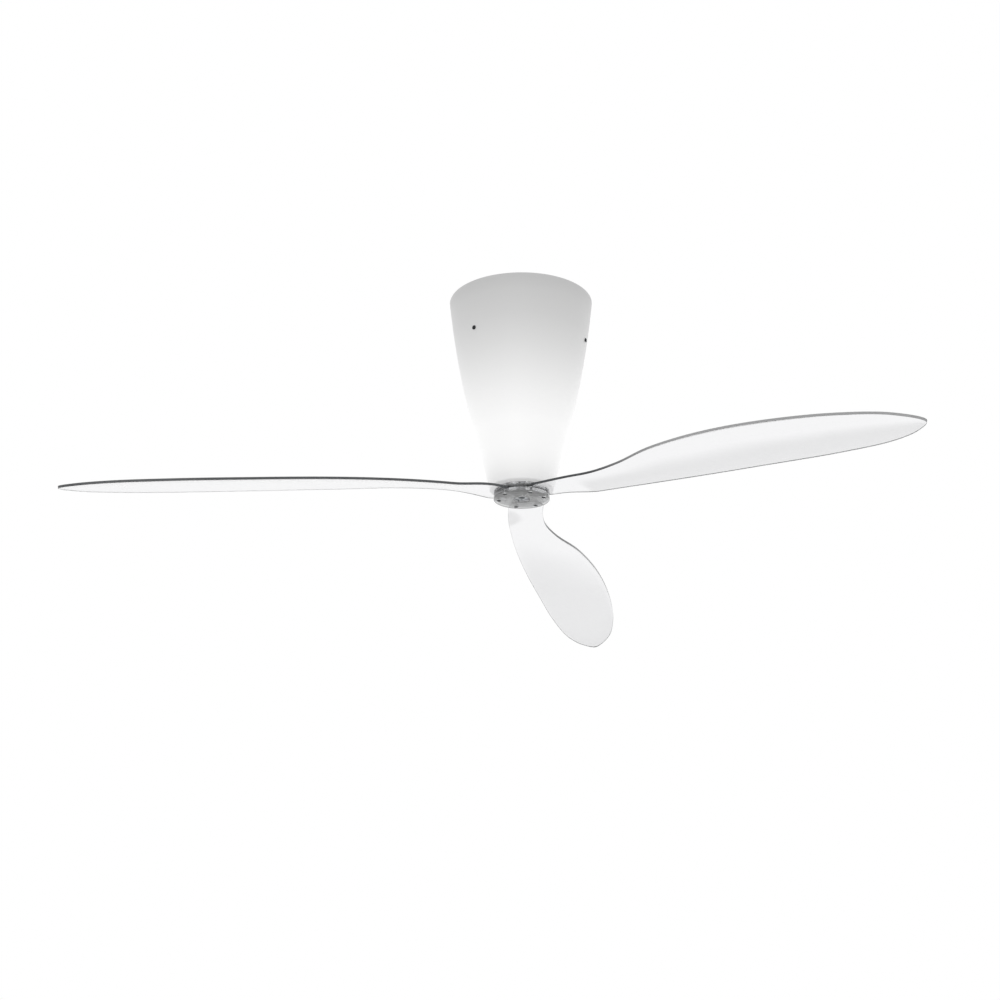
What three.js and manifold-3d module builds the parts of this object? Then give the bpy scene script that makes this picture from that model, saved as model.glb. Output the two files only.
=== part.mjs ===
// Ceiling fan with a lamp: three clear acrylic blades under an opal conical shade.
// Millimetres, +Z up. The origin is the centre of the ceiling plate's top face, so the
// whole fan lies below z = 0. One blade points along +Y at rest.
import * as THREE from 'three';
import { mergeVertices } from 'three/addons/utils/BufferGeometryUtils.js';
import Module from 'manifold-3d';

const wasm = await Module();
wasm.setup();

// ---------------------------------------------------------------- driving dimensions
const SEAT = 0.2; // gap left between pieces that rest on each other
const FACETS = [[5, 8], [12, 12], [30, 18], [Infinity, 32]]; // up to each radius, so many facets
const DROP = 350; // ceiling to the underside of the blade hub

// ceiling plate, hanger and shade carrier
const PLATE_R = 70;
const PLATE_T = 3;
const FIX_PCD = 120; // fixing holes for the ceiling screws
const FIX_COUNT = 4;
const FIX_HOLE_R = 3.2;
const CABLE_HOLE_R = 10;
const CABLE_HOLE_AT = [-30, -26];
const GROMMET_WALL = 2.5;
const STUD_R = 3;
const STUD_RING_R = 30;
const STUD_AZ = [30, 150, 270];
const NUT_R = 5.4;
const NUT_T = 5;
const CARRIER_GAP = 42; // clear height between ceiling plate and shade carrier
const CARRIER_R = 72;
const CARRIER_T = 3;
const CARRIER_BORE_R = 12;
const ARM_W = 20;
const TAB_H = 44; // length of the folded tab under each arm
const TAB_GAP = 1.3; // each tab to the shade's wall
const STUD_RECESS = 0.6; // end of each stud below the ceiling
const STUD_ENGAGED = 9.4; // length of each stud inside the motor
const BUSH_R = 10;
const BUSH_H = 7.6;

// opal shade
const SHADE_TOP_GAP = 3; // ceiling to the shade's rim
const SHADE_R_TOP = 118.7;
const SHADE_R_BOTTOM = 51.2;
const SHADE_BULGE = 8.1; // how far the wall swells past a straight cone at half height
const SHADE_WALL = 3;
const SHADE_STEPS = 8;
const SHADE_OVER_HUB = 2.4; // running gap between the shade's lip and the turning hub
const SHADE_LIP_T = 3;
const SHADE_MOUTH_R = 33;
const SHADE_SCREW_DEPTH = 82; // ceiling to the three shade screws
const SHADE_SCREW_AZ = -2;
const SHADE_SCREW_R = 2.4;
const SHADE_SCREW_HEAD_R = 3.6;
const SHADE_SCREW_HEAD_T = 2;
const DIMPLE_R = 6; // boss on each tab that the shade wall rests against

// motor
const MOTOR_R = 70;
const MOTOR_WALL = 4;
const STATOR_H = 26;
const STATOR_RIM = 13.8; // yoke width
const TOOTH_LENGTH = 16; // yoke to rotor bore
const TEETH = 12;
const TOOTH_W = 7;
const TOOTH_SHOE_T = 3;
const TOOTH_SHOE_W = 14;
const AIR_GAP = 0.6;
const COIL_T = 3.2;
const COIL_OVERHANG = 5;
const END_SPACE = 17.4; // cover wall to stator core at each end
const END_RING_T = 5;
const END_RING_W = 12;
const END_RING_EDGE = 1.4; // rotor surface to end ring
const CAGE_BARS = 10;
const CAGE_BAR_R = 1.8;
const THROUGH_BOLT_EDGE = 5.8; // outside of the stator to the bolts' centres
const THROUGH_BOLT_R = 2;
const THROUGH_BOLT_AZ = [90, 210, 330];
const BOLT_BOSS_R = 5.5; // boss inside each cover around a bolt
const BOLT_HOLE_R = 2.3;
const BOLT_HEAD_R = 3.8;
const BOLT_HEAD_T = 2.6;

// shaft and ball bearings
const SHAFT_R = 6;
const SHAFT_CORE_R = 7.5; // thicker stretch that the rotor sits on, between the bearings
const SHAFT_FIT = 0.05;
const BEARING_R = 14;
const BEARING_W = 8;
const RACE_IN_R = 8; // outside of the inner ring
const RACE_OUT_R = 12; // inside of the outer ring
const BALL_R = 1.85;
const BALLS = 7;
const BALL_CAGE_T = 1.2;
const BEARING_WALL = 4;
const TOP_BEARING_GAP = 1.4; // cover to bearing, filled by the preload washer
const BASE_BEARING_GAP = 0.5;

// lamp carrier, lampholders and lamps
const TRAY_RIM = 18; // how far the tray reaches past the motor
const TRAY_T = 1.6;
const TUBE_R = 9;
const TUBE_WALL = 1.8;
const TUBE_FLANGE_R = 14;
const TUBE_FLANGE_T = 1.5;
const TUBE_END_H = 45; // end of the tube above the underside of the hub
const LAMP_RING_R = 42;
const LAMP_AZ = [60, 240];
const HOLDER_R = 18;
const HOLDER_WALL = 3.6;
const HOLDER_H = 38;
const CAP_R = 13.2;
const CAP_H = 24;
const LAMP_NECK_R = 13.6;
const LAMP_NECK_H = 10;
const LAMP_BODY_H = 50;
const GLOBE_R = 28;
const GLOBE_WALL = 1.5;
const GLOBE_STEPS = 6;

// hub: two clear discs that clamp the blade roots
const HUB_R = 45;
const LOWER_DISC_T = 6.4;
const UPPER_DISC_T = 4.8;
const BLADE_T = 4;
const FLANGE_R = 29.5;
const FLANGE_T = 6;
const BOSS_R = 11;
const BOSS_H = 18;
const SET_SCREW_R = 2.05;
const SPACER_R = [8, 17];
const BLADE_SCREW_RING_R = 37;
const BLADE_SCREW_SPREAD = 26; // degrees to each side of the blade's axis
const BLADE_SCREW_R = 2;
const BLADE_SCREW_HEAD_R = 3.4;
const BLADE_SCREW_HEAD_T = 2.6;
const BLADE_NUT_R = 3.9;
const BLADE_NUT_T = 2.6;
const WASHER_R = 13;
const WASHER_T = 1.6;
const HUB_BOLT_R = 2.5;
const HUB_BOLT_HEAD_R = 5;
const HUB_BOLT_HEAD_T = 2.1;
const HUB_BOLT_LENGTH = 16;

// blades: edge points as [distance out from the fan's axis, offset to the blade's left],
// looking down on the blade with its tip away from the viewer
const TIP_R = 725;
const ROOT_R = 46; // where the blade leaves the hub and starts to sag and twist
const ROOT_END_R = 20;
const TIP_SAG = 65.8; // droop of the acrylic under its own weight
const PITCH_ROOT = 0; // slopes across the blade
const PITCH_MID = 0.182;
const PITCH_TIP = 0.159;
const TWIST_SHARE = 0.12; // share of the free length that takes the twist
const CAMBER = 0.025; // arch of the blade's section, as a share of its width
const LEADING_EDGE = [
  [46, -27], [100, -14.5], [150, -9], [210, -17], [290, -40],
  [400, -56], [520, -57.5], [620, -46.5], [690, -25],
];
const TRAILING_EDGE = [
  [46, 32], [100, 44], [150, 51], [220, 58], [320, 62.5],
  [440, 61.5], [560, 57.5], [650, 46.5], [700, 27.5],
];
const TIP_OFFSET = 6;
const ROOT_END_HALF_W = 20;
const BLADE_ROWS = 26;
const BLADE_STRIPS = 4;
const BLADE_AZ = [90, 210, 330];

// electrical pieces on the carrier: [width, depth, height] and centre [x, y]
const RECEIVER = [84, 34, 24];
const RECEIVER_AT = [0, 46];
const CAPACITOR = [18, 46, 30];
const CAPACITOR_AT = [49, -16];
const TERMINAL = [20, 36, 18];
const TERMINAL_AT = [-48, -20];
const MOTOR_LEAD_AZ = 145; // where the motor's lead enters its top cover
const LEAD_EXIT_DEPTH = 12; // that place below the cover's inner face
const TRAY_INLET_GAP = 9; // motor to where the lamps' lead passes the tray
const TRAY_INLET_AZ = 40;
const LEAD_R = 2.5;

// ------------------------------------------------------------------- derived heights
const hub = (height) => height - DROP; // height above the hub's underside
const plateBottom = -PLATE_T;
const carrierTop = plateBottom - CARRIER_GAP;
const carrierBottom = carrierTop - CARRIER_T;
const bushTop = carrierBottom - SEAT;
const coverTop = bushTop - BUSH_H - SEAT;
const coverInside = coverTop - MOTOR_WALL;
const statorTop = coverInside - END_SPACE;
const statorBottom = statorTop - STATOR_H;
const baseInside = statorBottom - END_SPACE;
const baseBottom = baseInside - MOTOR_WALL;
const statorR = MOTOR_R - MOTOR_WALL - SEAT;
const toothRootR = statorR - STATOR_RIM;
const statorBoreR = toothRootR - TOOTH_LENGTH;
const rotorR = statorBoreR - AIR_GAP;
const endRing = [rotorR - END_RING_EDGE - END_RING_W, rotorR - END_RING_EDGE];
const trayR = MOTOR_R + TRAY_RIM;
const split = (statorTop + statorBottom) / 2; // joint of the two motor covers
const topBearing = coverInside - TOP_BEARING_GAP - BEARING_W / 2; // centre heights of the bearings
const bottomBearing = baseInside + BASE_BEARING_GAP + BEARING_W / 2;
const tubeTop = baseBottom - SEAT;
const trayTop = tubeTop - TUBE_FLANGE_T - SEAT;
const trayBottom = trayTop - TRAY_T;
const holderTop = trayBottom - SEAT;
const lowerDiscTop = hub(LOWER_DISC_T);
const bladeBottom = lowerDiscTop + SEAT;
const bladeMiddle = bladeBottom + BLADE_T / 2;
const upperDiscBottom = bladeBottom + BLADE_T + SEAT;
const upperDiscTop = upperDiscBottom + UPPER_DISC_T;
const flangeBottom = upperDiscTop + SEAT;
const flangeTop = flangeBottom + FLANGE_T;
const shadeBottom = upperDiscTop + SHADE_OVER_HUB;
const shadeTop = -SHADE_TOP_GAP;
const washerTop = hub(HUB_BOLT_HEAD_T + WASHER_T + 2 * SEAT);
const shaftEnd = washerTop + SEAT;
const shaftTop = topBearing + BEARING_W / 2 + 0.5;
const ballRing = (RACE_IN_R + RACE_OUT_R) / 2;

// --------------------------------------------------------------------------- helpers
const rad = (degrees) => (degrees * Math.PI) / 180;
const facets = (radius) => FACETS.find(([limit]) => radius <= limit)[1];
const polar = (radius, azimuth) => [radius * Math.cos(rad(azimuth)), radius * Math.sin(rad(azimuth))];

// a closed indexed mesh: shared vertices joined, collapsed triangles dropped, faces out
function clean(geometry) {
  const bare = geometry.clone();
  for (const name of Object.keys(bare.attributes)) {
    if (name !== 'position') bare.deleteAttribute(name);
  }
  const merged = mergeVertices(bare, 1e-4);
  const place = merged.attributes.position;
  const source = merged.index.array;
  const index = [];
  let volume = 0;
  const [a, b, c] = [new THREE.Vector3(), new THREE.Vector3(), new THREE.Vector3()];
  for (let i = 0; i < source.length; i += 3) {
    const [p, q, r] = [source[i], source[i + 1], source[i + 2]];
    if (p === q || q === r || r === p) continue;
    index.push(p, q, r);
    a.fromBufferAttribute(place, p);
    b.fromBufferAttribute(place, q);
    c.fromBufferAttribute(place, r);
    volume += a.dot(b.cross(c));
  }
  if (volume < 0) index.reverse();
  const out = new THREE.BufferGeometry();
  out.setAttribute('position', new THREE.BufferAttribute(place.array.slice(), 3));
  out.setIndex(index);
  return out;
}

function solid(geometry) {
  const mesh = clean(geometry);
  return new wasm.Manifold(new wasm.Mesh({
    numProp: 3,
    vertProperties: new Float32Array(mesh.attributes.position.array),
    triVerts: new Uint32Array(mesh.index.array),
  }));
}

function geometryOf(body) {
  const mesh = body.getMesh();
  const out = new THREE.BufferGeometry();
  out.setAttribute('position', new THREE.BufferAttribute(new Float32Array(mesh.vertProperties), 3));
  out.setIndex(Array.from(mesh.triVerts));
  return out;
}

const join = (...shapes) => geometryOf(shapes.map(solid).reduce((sum, next) => sum.add(next)));
const cut = (body, ...tools) =>
  geometryOf(tools.map(solid).reduce((rest, tool) => rest.subtract(tool), solid(body)));

// upright cylinder between two heights, centred on [x, y]
function rod(radius, low, high, at = [0, 0], sides = facets(radius)) {
  const shape = new THREE.CylinderGeometry(radius, radius, high - low, sides);
  shape.rotateX(Math.PI / 2);
  return shape.translate(at[0], at[1], (low + high) / 2);
}

// a round hole cut with flat facets: even its flats lie at the stated radius
const bore = (radius, low, high, at = [0, 0]) =>
  rod(radius / Math.cos(Math.PI / facets(radius)), low, high, at);

function box(size, low, at = [0, 0], azimuth = 0) {
  const shape = new THREE.BoxGeometry(size[0], size[1], size[2]);
  shape.rotateZ(rad(azimuth));
  return shape.translate(at[0], at[1], low + size[2] / 2);
}

// solid of revolution about the fan's axis from a closed outline of [radius, height]
function turned(outline, at = [0, 0], sides = facets(Math.max(...outline.map(([r]) => r)))) {
  const points = outline.map(([r, z]) => new THREE.Vector2(r, z));
  const onAxis = outline[0][0] === 0 && outline[outline.length - 1][0] === 0;
  if (!onAxis) points.push(points[0].clone());
  const shape = new THREE.LatheGeometry(points, sides);
  shape.rotateX(Math.PI / 2);
  return shape.translate(at[0], at[1], 0);
}

const ring = (inside, outside, low, high, at = [0, 0]) =>
  turned([[inside, low], [outside, low], [outside, high], [inside, high]], at);

// cylinder that lies along the radius at one azimuth and height, from one radius to another
function radialRod(radius, from, to, azimuth, height, sides = facets(radius)) {
  const shape = new THREE.CylinderGeometry(radius, radius, to - from, sides);
  shape.rotateZ(-Math.PI / 2);
  shape.translate((from + to) / 2, 0, 0);
  shape.rotateZ(rad(azimuth));
  return shape.translate(0, 0, height);
}

const fan = new THREE.Group();
const finishes = {
  steel: { color: 0xb9bcc0, roughness: 0.35, metalness: 1 },
  zinc: { color: 0xc9ccd0, roughness: 0.4, metalness: 1 },
  darkSteel: { color: 0x55585c, roughness: 0.4, metalness: 1 },
  aluminium: { color: 0xc8cacd, roughness: 0.35, metalness: 1 },
  whitePaint: { color: 0xf2f2f0, roughness: 0.45, metalness: 0 },
  copper: { color: 0xb4652f, roughness: 0.35, metalness: 1 },
  brass: { color: 0xc9a24a, roughness: 0.35, metalness: 1 },
  rubber: { color: 0x232323, roughness: 0.8, metalness: 0 },
  whitePlastic: { color: 0xf0efec, roughness: 0.4, metalness: 0 },
  greyPlastic: { color: 0x8d8f92, roughness: 0.5, metalness: 0 },
  opal: { color: 0xf4f2f2, roughness: 0.4, metalness: 0 },
  acrylic: { color: 0xe9eef0, roughness: 0.05, metalness: 0 },
  porcelain: { color: 0xf6f4ee, roughness: 0.25, metalness: 0 },
};

function add(name, geometry, finish) {
  const shown = clean(geometry);
  shown.computeVertexNormals();
  const mesh = new THREE.Mesh(shown, new THREE.MeshStandardMaterial(finishes[finish]));
  mesh.name = name;
  fan.add(mesh);
}

// ------------------------------------------------------------------- shade geometry
function shadeRadius(height) {
  const u = (height - shadeBottom) / (shadeTop - shadeBottom);
  return SHADE_R_BOTTOM + (SHADE_R_TOP - SHADE_R_BOTTOM) * u + 4 * SHADE_BULGE * u * (1 - u);
}

const shadeScrewZ = -SHADE_SCREW_DEPTH;
const shadeScrewAz = [0, 120, 240].map((turn) => SHADE_SCREW_AZ + turn);
const tabBottom = carrierBottom - TAB_H;
const tabFace = shadeRadius(tabBottom) - SHADE_WALL - TAB_GAP; // outer face of each tab
const dimpleFace = shadeRadius(shadeScrewZ - DIMPLE_R) - SHADE_WALL - 2.5 * SEAT;
const weldNutFace = tabFace - CARRIER_T - NUT_T; // inner end of the nut welded to each tab
const headSeat = shadeRadius(shadeScrewZ + SHADE_SCREW_HEAD_R) + SEAT;

function shade() {
  const steps = SHADE_STEPS;
  const heights = Array.from({ length: steps + 1 }, (_, i) =>
    shadeBottom + ((shadeTop - shadeBottom) * i) / steps);
  const outside = heights.map((z) => [shadeRadius(z), z]);
  const floor = shadeBottom + SHADE_LIP_T;
  const inside = [floor, ...heights.slice(1)].map((z) => [shadeRadius(z) - SHADE_WALL, z]).reverse();
  const outline = [[SHADE_MOUTH_R, shadeBottom], ...outside, ...inside, [SHADE_MOUTH_R, floor]];
  const holes = shadeScrewAz.map((az) =>
    radialRod(SHADE_SCREW_R + 2 * SEAT, dimpleFace, headSeat, az, shadeScrewZ));
  return cut(turned(outline), ...holes);
}

// --------------------------------------------------------- ceiling plate and hanger
const studAt = STUD_AZ.map((az) => polar(STUD_RING_R, az));
const fixAt = Array.from({ length: FIX_COUNT }, (_, i) => polar(FIX_PCD / 2, 45 + (360 / FIX_COUNT) * i));
const studTop = -STUD_RECESS;
const studBottom = coverTop - STUD_ENGAGED;

add('ceiling_plate', cut(
  rod(PLATE_R, plateBottom, 0),
  ...studAt.map((at) => rod(STUD_R + SEAT, plateBottom - 1, 1, at)),
  ...fixAt.map((at) => rod(FIX_HOLE_R, plateBottom - 1, 1, at)),
  rod(CABLE_HOLE_R, plateBottom - 1, 1, CABLE_HOLE_AT),
), 'zinc');

add('cable_grommet', turned([
  [CABLE_HOLE_R - GROMMET_WALL, plateBottom - 2], [CABLE_HOLE_R + 2, plateBottom - 2],
  [CABLE_HOLE_R + 2, plateBottom - SEAT], [CABLE_HOLE_R - SEAT, plateBottom - SEAT],
  [CABLE_HOLE_R - SEAT, studTop], [CABLE_HOLE_R - GROMMET_WALL, studTop],
], CABLE_HOLE_AT), 'rubber');

// each stud carries its two nuts: one under the ceiling plate, one on the shade carrier
studAt.forEach((at, i) => add(`hanger_stud_${i + 1}`, join(
  rod(STUD_R, studBottom, studTop, at),
  rod(NUT_R, plateBottom - SEAT - NUT_T, plateBottom - SEAT, at, 6),
  rod(NUT_R, carrierTop + SEAT, carrierTop + SEAT + NUT_T, at, 6),
), 'steel'));

function carrier() {
  const reach = tabFace;
  const armLength = reach - CARRIER_R + 12;
  const parts = [rod(CARRIER_R, carrierBottom, carrierTop)];
  for (const az of shadeScrewAz) {
    parts.push(box([armLength, ARM_W, CARRIER_T], carrierBottom, polar(reach - armLength / 2, az), az));
    parts.push(box([CARRIER_T, ARM_W, TAB_H + CARRIER_T], tabBottom, polar(reach - CARRIER_T / 2, az), az));
    parts.push(radialRod(DIMPLE_R, reach - 1, dimpleFace, az, shadeScrewZ));
    parts.push(radialRod(NUT_R, weldNutFace, reach - 1, az, shadeScrewZ, 6));
  }
  const holes = studAt.map((at) => rod(STUD_R + SEAT, carrierBottom - 1, carrierTop + 1, at));
  holes.push(rod(CARRIER_BORE_R, carrierBottom - 1, carrierTop + 1));
  holes.push(...shadeScrewAz.map((az) =>
    radialRod(SHADE_SCREW_R + SEAT, weldNutFace - 1, dimpleFace + 1, az, shadeScrewZ)));
  return cut(join(...parts), ...holes);
}
add('shade_carrier', carrier(), 'zinc');

studAt.forEach((at, i) => add(`vibration_bush_${i + 1}`,
  ring(STUD_R + SEAT, BUSH_R, bushTop - BUSH_H, bushTop, at), 'rubber'));

// ------------------------------------------------------------ shade and its fixings
add('diffuser_shade', shade(), 'opal');

shadeScrewAz.forEach((az, i) => add(`shade_screw_${i + 1}`, join(
  radialRod(SHADE_SCREW_R, weldNutFace - 2, headSeat + 0.5, az, shadeScrewZ),
  radialRod(SHADE_SCREW_HEAD_R, headSeat, headSeat + SHADE_SCREW_HEAD_T, az, shadeScrewZ),
), 'darkSteel'));

// ----------------------------------------------------------------------------- motor
const boltAt = THROUGH_BOLT_AZ.map((az) => polar(statorR - THROUGH_BOLT_EDGE, az));
const boltBottom = trayBottom - NUT_T;
const bearingBossR = BEARING_R + SHAFT_FIT + BEARING_WALL;
const coverBore = BEARING_R + SHAFT_FIT;
const leadExitZ = coverInside - LEAD_EXIT_DEPTH;

function topCover() {
  const inner = MOTOR_R - MOTOR_WALL;
  const bell = turned([
    [0, coverTop], [MOTOR_R, coverTop], [MOTOR_R, split + SEAT], [inner, split + SEAT],
    [inner, coverInside], [0, coverInside],
  ]);
  const parts = [bell, ring(coverBore, bearingBossR, topBearing - BEARING_W / 2, coverInside + 1)];
  parts.push(...studAt.map((at) => rod(STUD_R + 4, studBottom - 3, coverInside + 1, at)));
  parts.push(...boltAt.map((at) => rod(BOLT_BOSS_R, statorTop + SEAT, coverInside + 1, at)));
  const holes = studAt.map((at) => rod(STUD_R + 0.1, studBottom - SEAT, coverTop + 1, at));
  holes.push(...boltAt.map((at) => rod(BOLT_HOLE_R, statorTop - 1, coverTop + 1, at)));
  holes.push(radialRod(LEAD_R + 0.8, inner - 2, MOTOR_R + 2, MOTOR_LEAD_AZ, leadExitZ));
  return cut(join(...parts), ...holes);
}
add('motor_top_cover', topCover(), 'aluminium');

function bottomCover() {
  const inner = MOTOR_R - MOTOR_WALL;
  const bell = turned([
    [SHAFT_R + 1.5, baseBottom], [MOTOR_R, baseBottom], [MOTOR_R, split - SEAT], [inner, split - SEAT],
    [inner, baseInside], [SHAFT_R + 1.5, baseInside],
  ]);
  const parts = [bell, ring(coverBore, bearingBossR, baseInside - 1, bottomBearing + BEARING_W / 2)];
  parts.push(...boltAt.map((at) => rod(BOLT_BOSS_R, baseInside - 1, statorBottom - SEAT, at)));
  const holes = boltAt.map((at) => rod(BOLT_HOLE_R, baseBottom - 1, statorBottom + 1, at));
  return cut(join(...parts), ...holes);
}
add('motor_bottom_cover', bottomCover(), 'aluminium');

// long bolts through both covers and the lamp tray, each with its nut under the tray
boltAt.forEach((at, i) => add(`motor_bolt_${i + 1}`, join(
  rod(THROUGH_BOLT_R, boltBottom, coverTop + 1, at),
  rod(BOLT_HEAD_R, coverTop + SEAT, coverTop + SEAT + BOLT_HEAD_T, at),
  rod(BOLT_HEAD_R, trayBottom - SEAT - BOLT_HEAD_T, trayBottom - SEAT, at, 6),
), 'steel'));

function statorCore() {
  const pitch = 360 / TEETH;
  const parts = [ring(toothRootR, statorR, statorBottom, statorTop)];
  for (let i = 0; i < TEETH; i += 1) {
    const az = i * pitch;
    const shoeAt = polar(statorBoreR + 1.4, az);
    const toothAt = polar(statorBoreR + 1 + TOOTH_LENGTH / 2, az);
    parts.push(box([TOOTH_LENGTH + 1, TOOTH_W, STATOR_H], statorBottom, toothAt, az));
    parts.push(box([TOOTH_SHOE_T + 1, TOOTH_SHOE_W, STATOR_H], statorBottom, shoeAt, az));
  }
  const rotorBore = rod(statorBoreR, statorBottom - 1, statorTop + 1);
  const holes = boltAt.map((at) => rod(BOLT_HOLE_R, statorBottom - 1, statorTop + 1, at));
  return cut(join(...parts), rotorBore, ...holes);
}
add('stator_core', statorCore(), 'darkSteel');

function windings() {
  const from = statorBoreR + TOOTH_SHOE_T + 2;
  const length = toothRootR - from - 1;
  const inner = [length + 4, TOOTH_W + 0.8, STATOR_H + 2];
  const outer = [length, TOOTH_W + 0.8 + 2 * COIL_T, STATOR_H + 2 * COIL_OVERHANG];
  const coils = Array.from({ length: TEETH }, (_, i) => {
    const az = (360 / TEETH) * i;
    const at = polar(from + length / 2, az);
    return cut(box(outer, statorBottom - COIL_OVERHANG, at, az), box(inner, statorBottom - 1, at, az));
  });
  const middle = from + length / 2;
  const linkTop = statorTop + COIL_OVERHANG;
  const link = ring(middle - 2, middle + 2, linkTop - 1, linkTop + 1.5);
  return join(link, ...coils);
}
add('stator_windings', windings(), 'copper');

const barRing = (endRing[0] + endRing[1]) / 2;
const barAt = Array.from({ length: CAGE_BARS }, (_, i) => polar(barRing, (360 / CAGE_BARS) * i));
add('rotor_core', cut(
  ring(SHAFT_CORE_R + SHAFT_FIT, rotorR, statorBottom, statorTop),
  ...barAt.map((at) => rod(CAGE_BAR_R + SEAT, statorBottom - 1, statorTop + 1, at)),
), 'darkSteel');
add('rotor_cage', join(
  ring(...endRing, statorTop + SEAT, statorTop + SEAT + END_RING_T),
  ring(...endRing, statorBottom - SEAT - END_RING_T, statorBottom - SEAT),
  ...barAt.map((at) => rod(CAGE_BAR_R, statorBottom - SEAT - 1, statorTop + SEAT + 1, at)),
), 'aluminium');

// ---------------------------------------------------------------- shaft and bearings
add('drive_shaft', cut(
  join(
    rod(SHAFT_R, shaftEnd, shaftTop),
    rod(SHAFT_CORE_R, bottomBearing + BEARING_W / 2 + SEAT, topBearing - BEARING_W / 2 - SEAT),
  ),
  rod(HUB_BOLT_R + 0.1, shaftEnd - 1, hub(HUB_BOLT_LENGTH + 3)),
), 'steel');

function bearing(place, middle) {
  const [low, high] = [middle - BEARING_W / 2, middle + BEARING_W / 2];
  add(`${place}_bearing_outer_ring`, ring(RACE_OUT_R, BEARING_R, low, high), 'steel');
  add(`${place}_bearing_inner_ring`, ring(SHAFT_R + SHAFT_FIT, RACE_IN_R, low, high), 'steel');
  const balls = Array.from({ length: BALLS }, (_, i) => {
    const at = polar(ballRing, (360 / BALLS) * i);
    return new THREE.SphereGeometry(BALL_R, 6, 5).translate(at[0], at[1], middle);
  });
  const cage = ring(ballRing - BALL_CAGE_T / 2, ballRing + BALL_CAGE_T / 2, middle - 0.6, middle + 0.6);
  add(`${place}_bearing_balls`, join(cage, ...balls), 'steel');
}
bearing('top', topBearing);
bearing('bottom', bottomBearing);

add('preload_washer', ring(
  RACE_OUT_R, BEARING_R - 0.3, topBearing + BEARING_W / 2 + SEAT, coverInside - SEAT,
), 'steel');

// ---------------------------------------------------------------------- lamp carrier
const lampAt = LAMP_AZ.map((az) => polar(LAMP_RING_R, az));
add('lamp_tray', cut(
  rod(trayR, trayBottom, trayTop),
  bore(TUBE_R + SEAT, trayBottom - 1, trayTop + 1),
  ...boltAt.map((at) => rod(BOLT_HOLE_R, trayBottom - 1, trayTop + 1, at)),
  rod(LEAD_R + 0.6, trayBottom - 1, trayTop + 1, polar(MOTOR_R + TRAY_INLET_GAP, TRAY_INLET_AZ)),
), 'whitePaint');

add('shaft_tube', turned([
  [TUBE_R - TUBE_WALL, hub(TUBE_END_H)], [TUBE_R, hub(TUBE_END_H)], [TUBE_R, tubeTop - TUBE_FLANGE_T],
  [TUBE_FLANGE_R, tubeTop - TUBE_FLANGE_T], [TUBE_FLANGE_R, tubeTop], [TUBE_R - TUBE_WALL, tubeTop],
]), 'whitePaint');

const capTop = holderTop - 6;
const capBottom = capTop - CAP_H;
const neckBottom = capBottom - SEAT - LAMP_NECK_H;
const bodyBottom = capBottom - SEAT - LAMP_BODY_H;
const globeTop = bodyBottom - SEAT;
const globeCentre = globeTop - Math.sqrt(GLOBE_R ** 2 - (GLOBE_R - 2) ** 2);

function globe(at) {
  const start = Math.asin((globeTop - globeCentre) / GLOBE_R);
  const steps = GLOBE_STEPS;
  const arc = (radius) => Array.from({ length: steps + 1 }, (_, i) => {
    const angle = start - ((start + Math.PI / 2) * i) / steps;
    const r = i === steps ? 0 : radius * Math.cos(angle);
    return [r, globeCentre + radius * Math.sin(angle)];
  });
  const inside = arc(GLOBE_R - GLOBE_WALL);
  inside[0] = [inside[0][0], globeTop];
  return turned([...inside.reverse(), ...arc(GLOBE_R)], at);
}

lampAt.forEach((at, i) => {
  add(`lampholder_${i + 1}`, cut(
    rod(HOLDER_R, holderTop - HOLDER_H, holderTop, at),
    rod(HOLDER_R - HOLDER_WALL, holderTop - HOLDER_H - 1, capTop + 1, at),
  ), 'porcelain');
  add(`lamp_body_${i + 1}`, turned([
    [0, bodyBottom], [GLOBE_R - 2, bodyBottom], [GLOBE_R - 4, bodyBottom + 8],
    [LAMP_NECK_R, neckBottom], [LAMP_NECK_R, capBottom], [CAP_R, capBottom],
    [CAP_R, capTop + SEAT - 0.5], [0, capTop + SEAT - 0.5],
  ], at), 'whitePlastic');
  add(`lamp_globe_${i + 1}`, globe(at), 'opal');
});

// ------------------------------------------------------------------------------- hub
const bladeScrewAt = BLADE_AZ.flatMap((az) =>
  [az - BLADE_SCREW_SPREAD, az + BLADE_SCREW_SPREAD].map((angle) => polar(BLADE_SCREW_RING_R, angle)));
const headTop = hub(BLADE_SCREW_HEAD_T + SEAT);
const nutBottom = upperDiscTop - BLADE_NUT_T - SEAT;

add('hub_lower_disc', cut(
  rod(HUB_R, hub(0), lowerDiscTop),
  rod(SHAFT_R + 0.3, hub(-1), lowerDiscTop + 1),
  rod(WASHER_R + 0.3, hub(-1), washerTop + SEAT),
  ...bladeScrewAt.map((at) => rod(BLADE_SCREW_R + SEAT, hub(-1), lowerDiscTop + 1, at)),
  ...bladeScrewAt.map((at) => rod(BLADE_SCREW_HEAD_R + 0.3, hub(-1), headTop + SEAT, at)),
), 'acrylic');

add('hub_upper_disc', cut(
  rod(HUB_R, upperDiscBottom, upperDiscTop),
  rod(SHAFT_R + 0.3, upperDiscBottom - 1, upperDiscTop + 1),
  ...bladeScrewAt.map((at) => rod(BLADE_SCREW_R + SEAT, upperDiscBottom - 1, upperDiscTop + 1, at)),
  ...bladeScrewAt.map((at) => rod(BLADE_NUT_R + 0.3, nutBottom - SEAT, upperDiscTop + 1, at)),
), 'acrylic');

add('hub_spacer', ring(...SPACER_R, bladeBottom, bladeBottom + BLADE_T), 'acrylic');

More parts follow.
